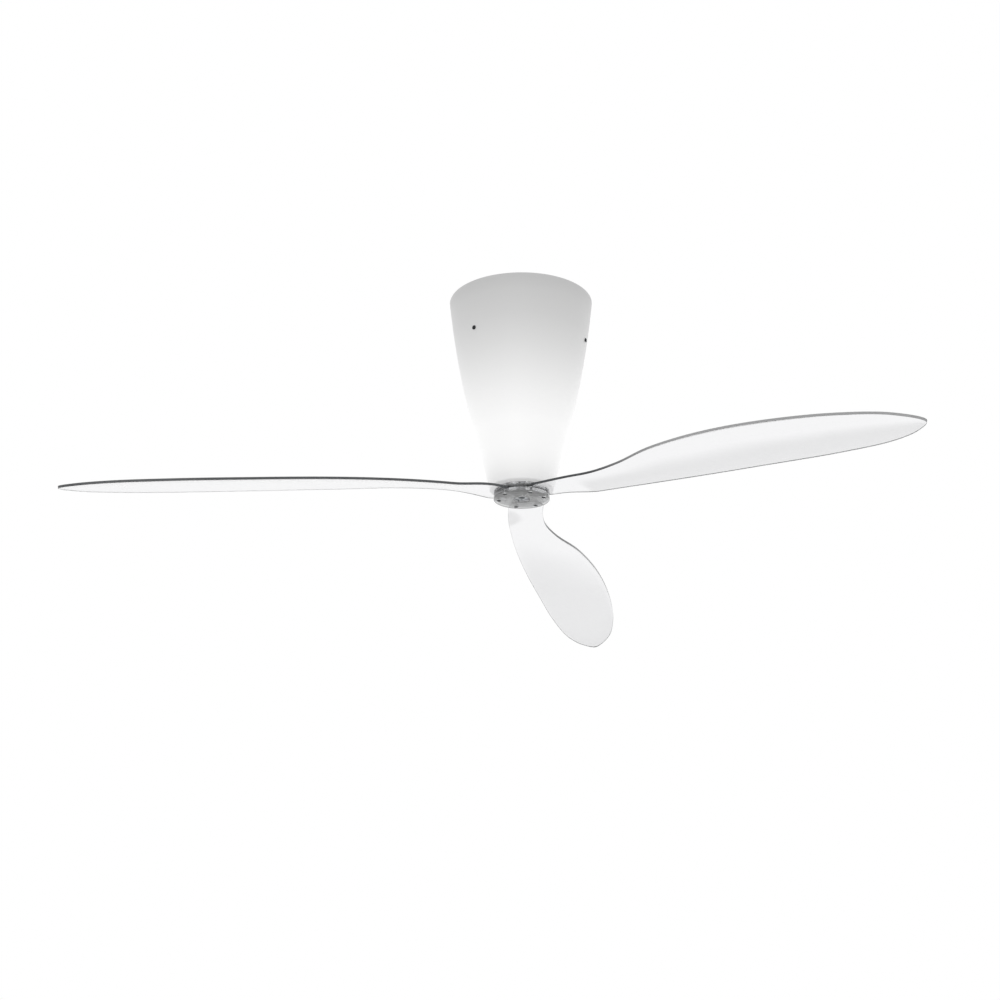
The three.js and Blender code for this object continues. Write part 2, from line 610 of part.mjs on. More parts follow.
const setScrewZ = flangeTop + BOSS_H / 2;
add('hub_flange', cut(
  join(rod(FLANGE_R, flangeBottom, flangeTop), rod(BOSS_R, flangeTop - 1, flangeTop + BOSS_H)),
  rod(SHAFT_R + SHAFT_FIT, flangeBottom - 1, flangeTop + BOSS_H + 1),
  radialRod(SET_SCREW_R + SEAT, SHAFT_R - 2, BOSS_R + 2, 90, setScrewZ),
), 'aluminium');
add('flange_set_screw', radialRod(SET_SCREW_R, SHAFT_R + SEAT, BOSS_R - 0.6, 90, setScrewZ), 'darkSteel');

// each screw carries its nut, let into the top of the upper disc
bladeScrewAt.forEach((at, i) => add(`blade_screw_${i + 1}`, join(
  rod(BLADE_SCREW_R, headTop - 0.5, upperDiscTop - SEAT, at),
  rod(BLADE_SCREW_HEAD_R, hub(SEAT), headTop, at),
  rod(BLADE_NUT_R, nutBottom, nutBottom + BLADE_NUT_T, at, 6),
), 'darkSteel'));

add('hub_washer', ring(HUB_BOLT_R + SEAT, WASHER_R, washerTop - WASHER_T, washerTop), 'steel');
add('hub_bolt', join(
  rod(HUB_BOLT_R, hub(SEAT) + 1, hub(HUB_BOLT_LENGTH)),
  rod(HUB_BOLT_HEAD_R, hub(SEAT), hub(SEAT + HUB_BOLT_HEAD_T - 0.1)),
), 'steel');

// ---------------------------------------------------------------------------- blades
// the droop of an evenly loaded cantilever, as a share of its tip sag
const droop = (q) => (q * q * (6 - 4 * q + q * q)) / 3;

function pitchAt(q) {
  const t = Math.min(q / TWIST_SHARE, 1);
  const twisted = PITCH_ROOT + (PITCH_MID - PITCH_ROOT) * t * t * (3 - 2 * t);
  const outer = Math.max((q - 0.6) / 0.4, 0);
  return twisted + (PITCH_TIP - PITCH_MID) * outer;
}

const freeShare = (out) => Math.max((out - ROOT_R) / (TIP_R - ROOT_R), 0);
const bladeHeight = (out, left) =>
  bladeMiddle - TIP_SAG * droop(freeShare(out)) - left * pitchAt(freeShare(out));

// how far the sheet arches above the straight line between two edge points
function camberAt(right, left, share) {
  const formed = pitchAt(freeShare((right[0] + left[0]) / 2)) / PITCH_MID;
  return CAMBER * formed * Math.hypot(left[0] - right[0], left[1] - right[1]) * 4 * share * (1 - share);
}

function blade(azimuth) {
  const edge = new THREE.CatmullRomCurve3(
    [...LEADING_EDGE, [TIP_R, TIP_OFFSET], ...[...TRAILING_EDGE].reverse()]
      .map(([out, left]) => new THREE.Vector3(out, left, 0)), false, 'centripetal');
  const rows = [[[ROOT_END_R, -ROOT_END_HALF_W], [ROOT_END_R, ROOT_END_HALF_W]]];
  for (let i = 0; i < BLADE_ROWS; i += 1) {
    const t = i / BLADE_ROWS / 2;
    const [right, left] = [edge.getPoint(t), edge.getPoint(1 - t)];
    rows.push([[right.x, right.y], [left.x, left.y]]);
  }
  const position = [];
  const put = (out, left, lift) => position.push(out, left, bladeHeight(out, left) + lift);
  const across = BLADE_STRIPS + 1;
  for (const half of [BLADE_T / 2, -BLADE_T / 2]) {
    for (const [right, left] of rows) {
      for (let k = 0; k < across; k += 1) {
        const share = k / BLADE_STRIPS;
        const [out, aside] = [0, 1].map((axis) => right[axis] + (left[axis] - right[axis]) * share);
        put(out, aside, half + camberAt(right, left, share));
      }
    }
    put(TIP_R, TIP_OFFSET, half);
  }
  const sheet = rows.length * across + 1;
  const top = (i, k) => i * across + k;
  const tip = rows.length * across;
  const index = [];
  const quad = (a, b, c, d) => index.push(a, b, c, a, c, d);
  for (let i = 0; i < rows.length - 1; i += 1) {
    for (let k = 0; k < BLADE_STRIPS; k += 1) {
      quad(top(i, k), top(i + 1, k), top(i + 1, k + 1), top(i, k + 1));
      quad(sheet + top(i, k), sheet + top(i, k + 1), sheet + top(i + 1, k + 1), sheet + top(i + 1, k));
    }
    quad(top(i, 0), sheet + top(i, 0), sheet + top(i + 1, 0), top(i + 1, 0));
    const [leftNow, leftNext] = [top(i, BLADE_STRIPS), top(i + 1, BLADE_STRIPS)];
    quad(leftNow, leftNext, sheet + leftNext, sheet + leftNow);
  }
  const last = rows.length - 1;
  for (let k = 0; k < BLADE_STRIPS; k += 1) {
    index.push(top(last, k), tip, top(last, k + 1));
    index.push(sheet + top(last, k), sheet + top(last, k + 1), sheet + tip);
    quad(top(0, k), top(0, k + 1), sheet + top(0, k + 1), sheet + top(0, k));
  }
  quad(top(last, 0), sheet + top(last, 0), sheet + tip, tip);
  quad(top(last, BLADE_STRIPS), tip, sheet + tip, sheet + top(last, BLADE_STRIPS));
  const shape = new THREE.BufferGeometry();
  shape.setAttribute('position', new THREE.Float32BufferAttribute(position, 3));
  shape.setIndex(index);
  const screws = [-BLADE_SCREW_SPREAD, BLADE_SCREW_SPREAD].map((angle) => polar(BLADE_SCREW_RING_R, angle));
  const drilled = cut(shape, ...screws.map((at) =>
    rod(BLADE_SCREW_R + SEAT, bladeBottom - 1, bladeBottom + BLADE_T + 1, at)));
  return drilled.rotateZ(rad(azimuth));
}
BLADE_AZ.forEach((az, i) => add(`blade_${i + 1}`, blade(az), 'acrylic'));

// -------------------------------------------------------------- electrical pieces
add('receiver_module', box(RECEIVER, carrierTop + SEAT, RECEIVER_AT), 'whitePlastic');
add('run_capacitor', box(CAPACITOR, carrierTop + SEAT, CAPACITOR_AT), 'greyPlastic');
add('terminal_block', box(TERMINAL, carrierTop + SEAT, TERMINAL_AT), 'whitePlastic');
const earthAt = polar(62, 200);
add('earth_screw', join(
  rod(3.6, plateBottom - SEAT - 2.6, plateBottom - SEAT, earthAt),
  rod(2, plateBottom - 9, plateBottom - 1, earthAt),
), 'brass');

// a round lead along a smooth route
function lead(points) {
  const route = new THREE.CatmullRomCurve3(points.map((p) => new THREE.Vector3(...p)));
  const section = new THREE.Shape();
  section.absarc(0, 0, LEAD_R, 0, 2 * Math.PI);
  return new THREE.ExtrudeGeometry(section, { steps: 16, curveSegments: 4, extrudePath: route });
}

const receiverSide = RECEIVER[0] / 2 + 2 * SEAT;
const receiverY = RECEIVER_AT[1];
const leadZ = carrierTop + 11;
const beside = (gap, azimuth, height) => [...polar(MOTOR_R + gap, azimuth), height];
add('motor_lead', lead([
  [-receiverSide, receiverY, leadZ], [-receiverSide - 8, receiverY, leadZ],
  beside(15, MOTOR_LEAD_AZ - 4, leadZ - 14), beside(17, MOTOR_LEAD_AZ - 2, leadExitZ + 9),
  beside(9, MOTOR_LEAD_AZ, leadExitZ), beside(-1, MOTOR_LEAD_AZ, leadExitZ),
]), 'rubber');
add('lamp_lead', lead([
  [receiverSide, receiverY, leadZ], [receiverSide + 8, receiverY, leadZ],
  beside(14, TRAY_INLET_AZ, leadZ - 14), beside(15, TRAY_INLET_AZ, split),
  beside(TRAY_INLET_GAP, TRAY_INLET_AZ, trayTop + 14), beside(TRAY_INLET_GAP, TRAY_INLET_AZ, trayBottom - 3),
]), 'rubber');

export default fan;
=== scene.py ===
# %% [markdown]
# # A ceiling fan with a lamp, in clear acrylic and opal plastic
#
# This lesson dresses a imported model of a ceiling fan. The model's solids are the frame: they hold the
# sizes, the places and the joint that turns the blades. Here each piece gets its fine shape and its
# finish. Lengths are in metres, +Z is up, the ceiling is at z = 0 and one blade points along +Y.

# %% The frame
from math import asin, cos, degrees, hypot, pi, radians, sin

import bmesh
import bpy
from mathutils import Matrix, Vector


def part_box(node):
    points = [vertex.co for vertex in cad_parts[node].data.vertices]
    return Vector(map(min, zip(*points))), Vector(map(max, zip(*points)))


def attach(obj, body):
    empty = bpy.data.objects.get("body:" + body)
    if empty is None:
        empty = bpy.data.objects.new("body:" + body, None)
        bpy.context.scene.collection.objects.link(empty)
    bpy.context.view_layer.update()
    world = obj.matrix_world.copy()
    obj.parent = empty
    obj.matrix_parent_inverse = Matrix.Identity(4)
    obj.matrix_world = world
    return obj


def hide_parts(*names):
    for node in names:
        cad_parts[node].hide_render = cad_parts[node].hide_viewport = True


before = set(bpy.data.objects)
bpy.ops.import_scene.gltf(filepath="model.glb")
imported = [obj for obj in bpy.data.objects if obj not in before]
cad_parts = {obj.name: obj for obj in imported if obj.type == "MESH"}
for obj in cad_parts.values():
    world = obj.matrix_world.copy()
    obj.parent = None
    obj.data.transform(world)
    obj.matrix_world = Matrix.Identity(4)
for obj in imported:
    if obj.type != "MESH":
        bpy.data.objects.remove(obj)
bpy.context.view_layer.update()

MM = 0.001
FIXED = "ceiling_unit"
ROTOR = "rotor"

# %% [markdown]
# ## The camera
#
# The photograph was taken from about 2.9 m away and almost 1 m below the hub, with a normal lens that
# looks up at the fan. The place and the lens were found by fitting the blades' edges, the shade's rims
# and the hub to the picture, so the perspective is the picture's own. A long lens from far away would
# flatten the three blades, and their tips would miss their places.

# %% The camera's place and lens
CAMERA_PLACE = (0.5585, -2.6329, -1.2956)
CAMERA_TURN = 12.718     # degrees to the left of +Y
CAMERA_PITCH = 19.351    # degrees upwards
CAMERA_LENS = 63.886     # millimetres, on a 36 mm wide frame

camera_data = bpy.data.cameras.new("camera")
camera_data.lens = CAMERA_LENS
camera_data.sensor_width = 36.0
camera_data.clip_end = 50.0
camera = bpy.data.objects.new("camera", camera_data)
camera.location = CAMERA_PLACE
camera.rotation_euler = (radians(90 + CAMERA_PITCH), 0, radians(CAMERA_TURN))
bpy.context.scene.collection.objects.link(camera)
bpy.context.scene.camera = camera
print("camera distance to the shaft:", round(hypot(*CAMERA_PLACE[:2]), 3), "m")

# %% [markdown]
# ## Colours and nodes
#
# A colour is written as the sRGB hex value that the eye would pick, and Blender wants it linear, so one
# function converts it. Another adds a node with its settings and links, so that a material reads as a
# short list. Wherever a value is the same over the whole surface, it is set on the shader itself.

# %% Colour and node helpers
def linear(hex_colour):
    channels = [int(hex_colour[i:i + 2], 16) / 255 for i in (1, 3, 5)]
    return [c / 12.92 if c <= 0.04045 else ((c + 0.055) / 1.055) ** 2.4 for c in channels] + [1.0]


def add_node(tree, kind, settings=None, links=None):
    """Adds a node. settings gives its properties and inputs, links the outputs that feed its inputs."""
    node = tree.nodes.new(kind)
    for name, value in (settings or {}).items():
        if hasattr(node, str(name)):
            setattr(node, name, value)
        else:
            node.inputs[name].default_value = value
    for name, output in (links or {}).items():
        tree.links.new(output, node.inputs[name])
    return node


def new_material(name, hex_colour, roughness, metallic=0.0, **shader):
    """A Principled material, its tree and its shader node. shader gives further sockets by name."""
    material = bpy.data.materials.new(name)
    material.use_nodes = True
    tree = material.node_tree
    tree.nodes.clear()
    settings = {"Base Color": linear(hex_colour), "Roughness": roughness, "Metallic": metallic}
    settings.update({key.replace("_", " "): value for key, value in shader.items()})
    principled = add_node(tree, "ShaderNodeBsdfPrincipled", settings)
    add_node(tree, "ShaderNodeOutputMaterial", links={"Surface": principled.outputs["BSDF"]})
    return material, tree, principled


def node_of(tree, kind):
    return next(n for n in tree.nodes if n.type == kind)


def set_bump(tree, principled, height, strength, distance):
    """Feeds a height pattern to the shader's normal. distance is the height's real size in metres."""
    bump = add_node(tree, "ShaderNodeBump", {"Strength": strength, "Distance": distance}, {"Height": height})
    tree.links.new(bump.outputs["Normal"], principled.inputs["Normal"])


def place_of(tree, scale=(1, 1, 1)):
    """The piece's own coordinates in metres, stretched by scale."""
    coords = add_node(tree, "ShaderNodeTexCoord")
    mapping = add_node(tree, "ShaderNodeMapping", {"Scale": scale}, {"Vector": coords.outputs["Object"]})
    return mapping.outputs["Vector"]


def noise(tree, grain, detail=2.0, scale=(1, 1, 1)):
    """Noise whose grain has about that real size in metres."""
    return add_node(tree, "ShaderNodeTexNoise", {"Scale": 1.0 / grain, "Detail": detail},
                    {"Vector": place_of(tree, scale)}).outputs["Fac"]


def spread(tree, factor, low, high):
    """Maps a 0 to 1 pattern to a range of values."""
    return add_node(tree, "ShaderNodeMapRange", {"To Min": low, "To Max": high},
                    {"Value": factor}).outputs["Result"]


def vary_gloss(tree, shader, pattern, low, high):
    """Lets a 0 to 1 pattern vary the roughness between two values."""
    tree.links.new(spread(tree, pattern, low, high), shader.inputs["Roughness"])


def mix_colours(tree, shader, first_hex, second_hex, share):
    """Takes the surface's colour from the first to the second as the share goes from 0 to 1."""
    colours = {"data_type": "RGBA", 6: linear(first_hex), 7: linear(second_hex)}
    mixed = add_node(tree, "ShaderNodeMix", colours, {0: share})
    tree.links.new(mixed.outputs[2], shader.inputs["Base Color"])


print("helpers ready; mid grey is", round(linear("#808080")[0], 3), "linear")

# %% [markdown]
# ## Clear acrylic
#
# The blades and the hub are cast acrylic. The faces of a sheet stay as cast, smooth and glossy, with an
# IOR of 1.49, and the plastic swallows a little of the light that crosses it, which the volume does
# here. The rim is cut with a saw, so it scatters light. Its dark grey is painted shade: it stands in
# for the darkness that refraction and internal reflection give the rim of clear plastic, and it is the
# line that draws each blade in the picture. The faces of the rim carry a mark in the mesh, and one
# material reads it, because light has to enter and leave the volume through the same material. The
# higher the mark, the cloudier the rim and the darker its painted shade. The hub is turned, which
# leaves it a little cloudy. Wiping marks, 3 mm long and 0.4 mm apart, vary the gloss.

# %% Acrylic
# The mark sets how cloudy the sawn rim is and how dark its painted shade is.
SAWN_AND_SHADE = "sawn_edge_and_painted_shade"    # name of the mark on a mesh's faces
ROOT_MARK, TRAILING_MARK, PALE_RIM_MARK = 1.0, 0.95, 0.42
# The rim's dark grey is painted shade for the darkness that refraction gives a clear plastic rim.
BLADE_FACE, BLADE_SAWN_RIM_AND_SHADE = "#FAFAFB", "#4A4D50"
WIPE_WIDTH, WIPE_STRETCH = 0.4 * MM, 8


def cast_acrylic(name, hex_colour, density, tint, clarity=1.0):
    material, tree, shader = new_material(name, hex_colour, 0.02, IOR=1.49, Transmission_Weight=clarity)
    wiping = noise(tree, WIPE_WIDTH * WIPE_STRETCH, detail=3.0, scale=(1, WIPE_STRETCH, 1))
    vary_gloss(tree, shader, wiping, 0.0, 0.04)
    volume = add_node(tree, "ShaderNodeVolumeAbsorption", {"Color": linear(tint), "Density": density})
    tree.links.new(volume.outputs["Volume"], node_of(tree, "OUTPUT_MATERIAL").inputs["Volume"])
    return material


def with_sawn_rim_and_painted_shade(material, face_hex, rim_shade_hex, edge_clarity):
    """Makes the marked rim faces partly cloudy, with painted shade that is darker the higher the mark."""
    tree = material.node_tree
    shader = node_of(tree, "BSDF_PRINCIPLED")
    # The mark's value sets the rim's painted shade.
    sawn = add_node(tree, "ShaderNodeAttribute", {"attribute_name": SAWN_AND_SHADE}).outputs["Fac"]
    mix_colours(tree, shader, face_hex, rim_shade_hex, sawn)
    clarity = {"From Max": PALE_RIM_MARK, "To Min": 1.0, "To Max": edge_clarity}
    clear = add_node(tree, "ShaderNodeMapRange", clarity, {"Value": sawn})
    tree.links.new(clear.outputs["Result"], shader.inputs["Transmission Weight"])
    return material


BLADE_ACRYLIC = with_sawn_rim_and_painted_shade(cast_acrylic("cast_acrylic_sheet_with_rim_shade", BLADE_FACE, density=12.0, tint="#88898B"),
                               BLADE_FACE, BLADE_SAWN_RIM_AND_SHADE, edge_clarity=0.3)
HUB_ACRYLIC = cast_acrylic("turned_acrylic", "#EDEEEF", density=3.0, tint="#84888C", clarity=0.8)
print("acrylic:", BLADE_ACRYLIC.name, HUB_ACRYLIC.name)

# %% [markdown]
# ## Opal acrylic for the shade
#
# The shade is blow-moulded opal acrylic with a satin surface. It lets about half of the light through
# and throws the rest back, so unlit it is a light grey rather than white. The lamps sit in its lower
# half, and the motor fills its top, so the glow is fullest a little above the hub and fades towards the
# rim. The glow is painted light: an emission that follows the height in the shade stands in for the
# lamps' light shining through the wall, and for some of the studio light on it. It is the same from
# every view.

# %% Opal shade
# Painted glow: emission by height that stands in for the lamps' light shining through the wall.
PAINTED_GLOW = [  # share of the shade's height, glow as linear light
    (0.00, 0.44), (0.05, 0.52), (0.10, 0.58), (0.16, 0.61), (0.28, 0.61), (0.40, 0.54),
    (0.52, 0.45), (0.66, 0.34), (0.80, 0.25), (0.92, 0.20), (1.00, 0.14),
]


def opal_acrylic_painted_glow():
    material, tree, shader = new_material("opal_acrylic_satin_painted_glow", "#B5B5B5", 0.42,
                                          Specular_IOR_Level=0.5, Emission_Strength=1.0)
    coords = add_node(tree, "ShaderNodeTexCoord")
    height = add_node(tree, "ShaderNodeSeparateXYZ", links={"Vector": coords.outputs["Generated"]})
    ramp = add_node(tree, "ShaderNodeValToRGB", links={"Fac": height.outputs["Z"]})
    stops = ramp.color_ramp.elements
    while len(stops) < len(PAINTED_GLOW):
        stops.new(0.5)
    for stop, (share, light) in zip(stops, PAINTED_GLOW):
        stop.position = share
        stop.color = (light, light, light, 1.0)
    # The ramp paints the glow into the emission: painted light, not cast by the lamps inside.
    tree.links.new(ramp.outputs["Color"], shader.inputs["Emission Color"])
    set_bump(tree, shader, noise(tree, 1.2 * MM), 0.06, 0.1 * MM)
    return material


OPAL_PAINTED_GLOW = opal_acrylic_painted_glow()
print("opal shade glows from", PAINTED_GLOW[0][1], "at the hub to", PAINTED_GLOW[-1][1], "at the rim")

# %% [markdown]
# ## Metals
#
# Under the shade sit ordinary fan parts: zinc-plated sheet steel for the ceiling plate and the carrier,
# a die-cast aluminium motor housing, bright steel studs and bolts, and black-oxide screws in the hub.
# A metal keeps the default IOR, and its colour is the colour of its reflection. What tells them apart
# is the surface: zinc plating has pale crystals a few millimetres wide, a casting has a fine grain of
# about half a millimetre, and a turned face has rings around its centre.

# %% Metal finishes
def zinc_plated_steel():
    material, tree, shader = new_material("zinc_plated_steel", "#C4C8CC", 0.36, 1.0)
    crystals = add_node(tree, "ShaderNodeTexVoronoi", {"Scale": 1 / (6 * MM)}, {"Vector": place_of(tree)})
    vary_gloss(tree, shader, crystals.outputs["Distance"], 0.28, 0.46)
    mix_colours(tree, shader, "#B4B9BE", "#D2D5D8", noise(tree, 14 * MM))
    return material


def cast_metal(name, hex_colour, roughness, grain, depth):
    material, tree, shader = new_material(name, hex_colour, roughness, 1.0)
    pattern = noise(tree, grain, detail=4.0)
    vary_gloss(tree, shader, pattern, roughness - 0.06, roughness + 0.1)
    set_bump(tree, shader, pattern, 0.35, depth)
    return material


def turned_metal(name, hex_colour, roughness, groove):
    """Metal faced on a lathe: rings about the shaft, one groove wide."""
    material, tree, shader = new_material(name, hex_colour, roughness, 1.0, Anisotropic=0.4)
    wave = {"wave_type": "RINGS", "rings_direction": "Z", "Scale": 1 / (20 * groove), "Distortion": 0.6,
            "Detail": 2.0}
    rings = add_node(tree, "ShaderNodeTexWave", wave, {"Vector": place_of(tree)}).outputs["Fac"]
    vary_gloss(tree, shader, rings, roughness - 0.05, roughness + 0.08)
    set_bump(tree, shader, rings, 0.15, 0.02 * MM)
    return material


ZINC = zinc_plated_steel()
CASTING = cast_metal("die_cast_aluminium", "#C9CBCC", 0.38, 0.6 * MM, 0.05 * MM)
LAMINATION = cast_metal("rolled_electrical_steel", "#6B6E70", 0.42, 0.5 * MM, 0.03 * MM)
BRIGHT_STEEL = cast_metal("bright_drawn_steel", "#B9BCBF", 0.26, 0.3 * MM, 0.01 * MM)
BLACK_OXIDE = cast_metal("black_oxide_steel", "#3A3C3E", 0.34, 0.3 * MM, 0.01 * MM)
TURNED_ALUMINIUM = turned_metal("turned_aluminium", "#E8E9EA", 0.46, 0.25 * MM)
BRASS = cast_metal("bright_brass", "#D8B566", 0.24, 0.4 * MM, 0.01 * MM)
NICKEL = cast_metal("nickel_plated_cap", "#CFCFCB", 0.22, 0.4 * MM, 0.01 * MM)
print("metals: 8 finishes")

# %% [markdown]
# ## Plastics, rubber, paint and porcelain
#
# Moulded plastic copies the fine spark texture of its mould, about 0.3 to 0.5 mm from grain to grain.
# Powder paint flows into a slight orange peel with waves of about 2 mm. Glazed porcelain is smooth with
# a deep gloss. Rubber is dark, rough and a little dusty. All of them are dielectrics with an IOR near
# 1.5. One function makes them, because they differ in numbers only.

# %% Dielectric finishes
def moulded(name, hex_colour, roughness, grain, depth, **shader_values):
    material, tree, shader = new_material(name, hex_colour, roughness, IOR=1.5, **shader_values)
    pattern = noise(tree, grain, detail=3.0)
    vary_gloss(tree, shader, pattern, roughness - 0.05, roughness + 0.07)
    set_bump(tree, shader, pattern, 0.25, depth)
    return material


WHITE_ABS = moulded("moulded_white_abs", "#E4E3DF", 0.42, 0.4 * MM, 0.04 * MM)
GREY_ABS = moulded("moulded_grey_abs", "#8B8D8F", 0.48, 0.5 * MM, 0.05 * MM)
NYLON = moulded("moulded_natural_nylon", "#DEDAD0", 0.45, 0.4 * MM, 0.03 * MM)
RUBBER = moulded("moulded_rubber", "#262626", 0.78, 0.5 * MM, 0.06 * MM)
PVC = moulded("extruded_pvc_sleeve", "#2E2F31", 0.5, 0.8 * MM, 0.03 * MM)
POWDER = moulded("white_powder_paint", "#E6E6E3", 0.4, 2.0 * MM, 0.05 * MM)
PORCELAIN = moulded("glazed_porcelain", "#EDEAE2", 0.12, 6.0 * MM, 0.05 * MM, Coat_Weight=0.5)
FROSTED = moulded("frosted_lamp_plastic", "#D2CFC9", 0.5, 0.5 * MM, 0.03 * MM, Emission_Strength=0.3,
                  Emission_Color=linear("#FFF4E6"))
COPPER = cast_metal("enamelled_copper_wire", "#B5673A", 0.3, 0.9 * MM, 0.2 * MM)
print("dielectrics and wire: 9 finishes")

# %% [markdown]
# ## Turning, cutting and rounding
#
# Nearly everything on this fan is turned, drilled or sheet metal, so a few helpers build it all. A
# turned piece is an outline of radius and height that sweeps once around an axis. A hole is cut with a
# boolean and then made part of the mesh. Real edges are never razor sharp: a bevel of a few tenths of a
# millimetre gives each one the thin highlight that the eye expects.

# %% Shape helpers
FAR = 5 * MM          # how far a cutting tool reaches past the face
SEAT = 0.2 * MM       # gap that the frame leaves between pieces that touch
ON_AXIS = [(0, 0)]    # the shaft's place


def new_piece(name, mesh, body=None):
    """Puts a mesh into the scene and lets it ride a body of the frame."""
    piece = bpy.data.objects.new(name, mesh)
    bpy.context.scene.collection.objects.link(piece)
    if body:
        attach(piece, body)
    return piece


def shape(name, vertices, faces, material, body=None, sharp=30):
    mesh = bpy.data.meshes.new(name)
    mesh.from_pydata([tuple(v) for v in vertices], [], faces)
    mesh.materials.append(material)
    tidy = bmesh.new()
    tidy.from_mesh(mesh)
    bmesh.ops.recalc_face_normals(tidy, faces=tidy.faces)
    tidy.to_mesh(mesh)
    tidy.free()
    mesh.shade_smooth()
    mesh.set_sharp_from_angle(angle=radians(sharp))
    return new_piece(name, mesh, body)


def upright(at, azimuth=0.0):
    return Matrix.Translation((at[0], at[1], 0)) @ Matrix.Rotation(radians(azimuth), 4, "Z")


def radial(azimuth, height):
    """Lays an upright piece along the radius at that azimuth and height."""
    turn = Matrix.Rotation(radians(azimuth), 4, "Z") @ Matrix.Rotation(pi / 2, 4, "Y")
    return Matrix.Translation((0, 0, height)) @ turn


def turned(name, outline, material, body=None, place=Matrix(), sides=64, sharp=30):
    """Sweeps an outline of (radius, height) about an upright axis. It closes on itself or on the axis."""
    vertices, rows = [], []
    for radius, height in outline:
        count = 1 if radius == 0 else sides
        rows.append(list(range(len(vertices), len(vertices) + count)))
        for i in range(count):
            turn = 2 * pi * i / sides
            vertices.append(place @ Vector((radius * cos(turn), radius * sin(turn), height)))
    open_ends = outline[0][0] == 0 and outline[-1][0] == 0
    pairs = list(zip(rows, rows[1:])) + ([] if open_ends else [(rows[-1], rows[0])])
    faces = []
    for low, high in pairs:
        for i in range(sides):
            j = (i + 1) % sides
            corners = [low[i % len(low)], low[j % len(low)], high[j % len(high)], high[i % len(high)]]
            face = list(dict.fromkeys(corners))
            if len(face) > 2:
                faces.append(face)
    return shape(name, vertices, faces, material, body, sharp)


def rod(radius, low, high, material, place=Matrix(), sides=48):
    """A round rod, to join to a piece or to cut a hole with."""
    outline = [(0, low), (radius, low), (radius, high), (0, high)]
    return turned("rod", outline, material, place=place, sides=sides)


def rods_at(places, radius, low, high, material, sides=48):
    return [rod(radius, low, high, material, upright(p), sides) for p in places]


def holes_through(places, radius, low, high, material, sides=48):
    """Tools that cut upright holes right through a sheet which reaches from low to high."""
    return rods_at(places, radius, low - FAR, high + FAR, material, sides)


def tube_faces(rows, sides):
    """Faces of a closed tube whose points lie in rows, with a flat face at each end."""
    faces = [(r * sides + i, r * sides + (i + 1) % sides, (r + 1) * sides + (i + 1) % sides,
              (r + 1) * sides + i) for r in range(rows - 1) for i in range(sides)]
    return faces + [tuple(range(sides))[::-1], tuple(range((rows - 1) * sides, rows * sides))]


def block(size, centre, material, place=Matrix()):
    x, y, z = (s / 2 for s in size)
    corners = [Vector((i * x, j * y, k * z)) for i in (-1, 1) for j in (-1, 1) for k in (-1, 1)]
    faces = [(0, 1, 3, 2), (4, 6, 7, 5), (0, 4, 5, 1), (2, 3, 7, 6), (0, 2, 6, 4), (1, 5, 7, 3)]
    return shape("block", [place @ (c + Vector(centre)) for c in corners], faces, material)


def soft_outline(outline, radius, steps=3):
    """Rounds the corners of a closed outline of (radius, height), but leaves the points on the axis."""
    points = [Vector(p) for p in outline]
    soft = []
    for i, corner in enumerate(points):
        if corner.x == 0:
            soft.append(tuple(corner))
            continue
        back, ahead = points[i - 1] - corner, points[(i + 1) % len(points)] - corner
        reach = min(radius, back.length / 2, ahead.length / 2)
        start, end = corner + back.normalized() * reach, corner + ahead.normalized() * reach
        for k in range(steps + 1):
            t = k / steps
            soft.append(tuple(start * (1 - t) ** 2 + corner * 2 * t * (1 - t) + end * t ** 2))
    return soft


def ring(name, inner, outer, low, high, corner, material, body=None, **settings):
    """A turned ring with soft corners, or a disc where inner is 0."""
    outline = soft_outline([(inner, low), (outer, low), (outer, high), (inner, high)], corner)
    return turned(name, outline, material, body, **settings)


def apply_modifiers(piece, sharp=30):
    graph = bpy.context.evaluated_depsgraph_get()
    baked = bpy.data.meshes.new_from_object(piece.evaluated_get(graph))
    piece.modifiers.clear()
    piece.data = baked
    baked.shade_smooth()
    baked.set_sharp_from_angle(angle=radians(sharp))
    return piece


def combine(piece, tools, operation="DIFFERENCE", sharp=30):
    """Cuts the tools out of a piece, or joins them to it, and removes the tools."""
    for tool in tools:
        step = piece.modifiers.new("cut or join", "BOOLEAN")
        step.operation = operation
        step.solver = "EXACT"
        step.object = tool
    apply_modifiers(piece, sharp)
    for tool in tools:
        bpy.data.objects.remove(tool)
    return piece


def rounded(piece, width, segments=2, angle=35):
    bevel = piece.modifiers.new("rounded edges", "BEVEL")
    bevel.width = width
    bevel.segments = segments
    bevel.limit_method = "ANGLE"
    bevel.angle_limit = radians(angle)
    bevel.harden_normals = True
    return piece


def dress(piece, node):
    """The piece stands for the node of the frame, whose own solid is hidden."""
    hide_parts(node)
    return piece


def size_of(node):
    """(radius, low, high, centre) of an upright round node."""
    low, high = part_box(node)
    return (high.x - low.x) / 2, low.z, high.z, ((low.x + high.x) / 2, (low.y + high.y) / 2)


def around(radius, azimuth):
    return (radius * cos(radians(azimuth)), radius * sin(radians(azimuth)))


print("shape helpers ready")

# %% [markdown]
# ## The shade
#
# The shade is one thin shell, wide at the ceiling and narrow at the hub, and its wall swells slightly
# past a straight cone. A straight cone would show: the photograph's outline bends by a few millimetres.
# So its outline comes from the two end radii and one bulge. The rim is rounded, and at the bottom the
# wall turns inwards into a lip around the shaft's flange.

# %% The shade's outline
WALL = 3 * MM
BULGE = 8.1 * MM
LIP_RADIUS = 33 * MM
CORNER = 2.5 * MM
shade_low, shade_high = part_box("diffuser_shade")
rim_radius = shade_high.x
foot_radius = 51.2 * MM


def shade_radius(height):
    u = (height - shade_low.z) / (shade_high.z - shade_low.z)
    return foot_radius + (rim_radius - foot_radius) * u + 4 * BULGE * u * (1 - u)


def arc(centre, radius, start, end, steps=5):
    """Points on a circle in the outline's plane, from one angle to another in degrees."""
    angles = [radians(start + (end - start) * i / steps) for i in range(steps + 1)]
    return [(centre[0] + radius * cos(a), centre[1] + radius * sin(a)) for a in angles]


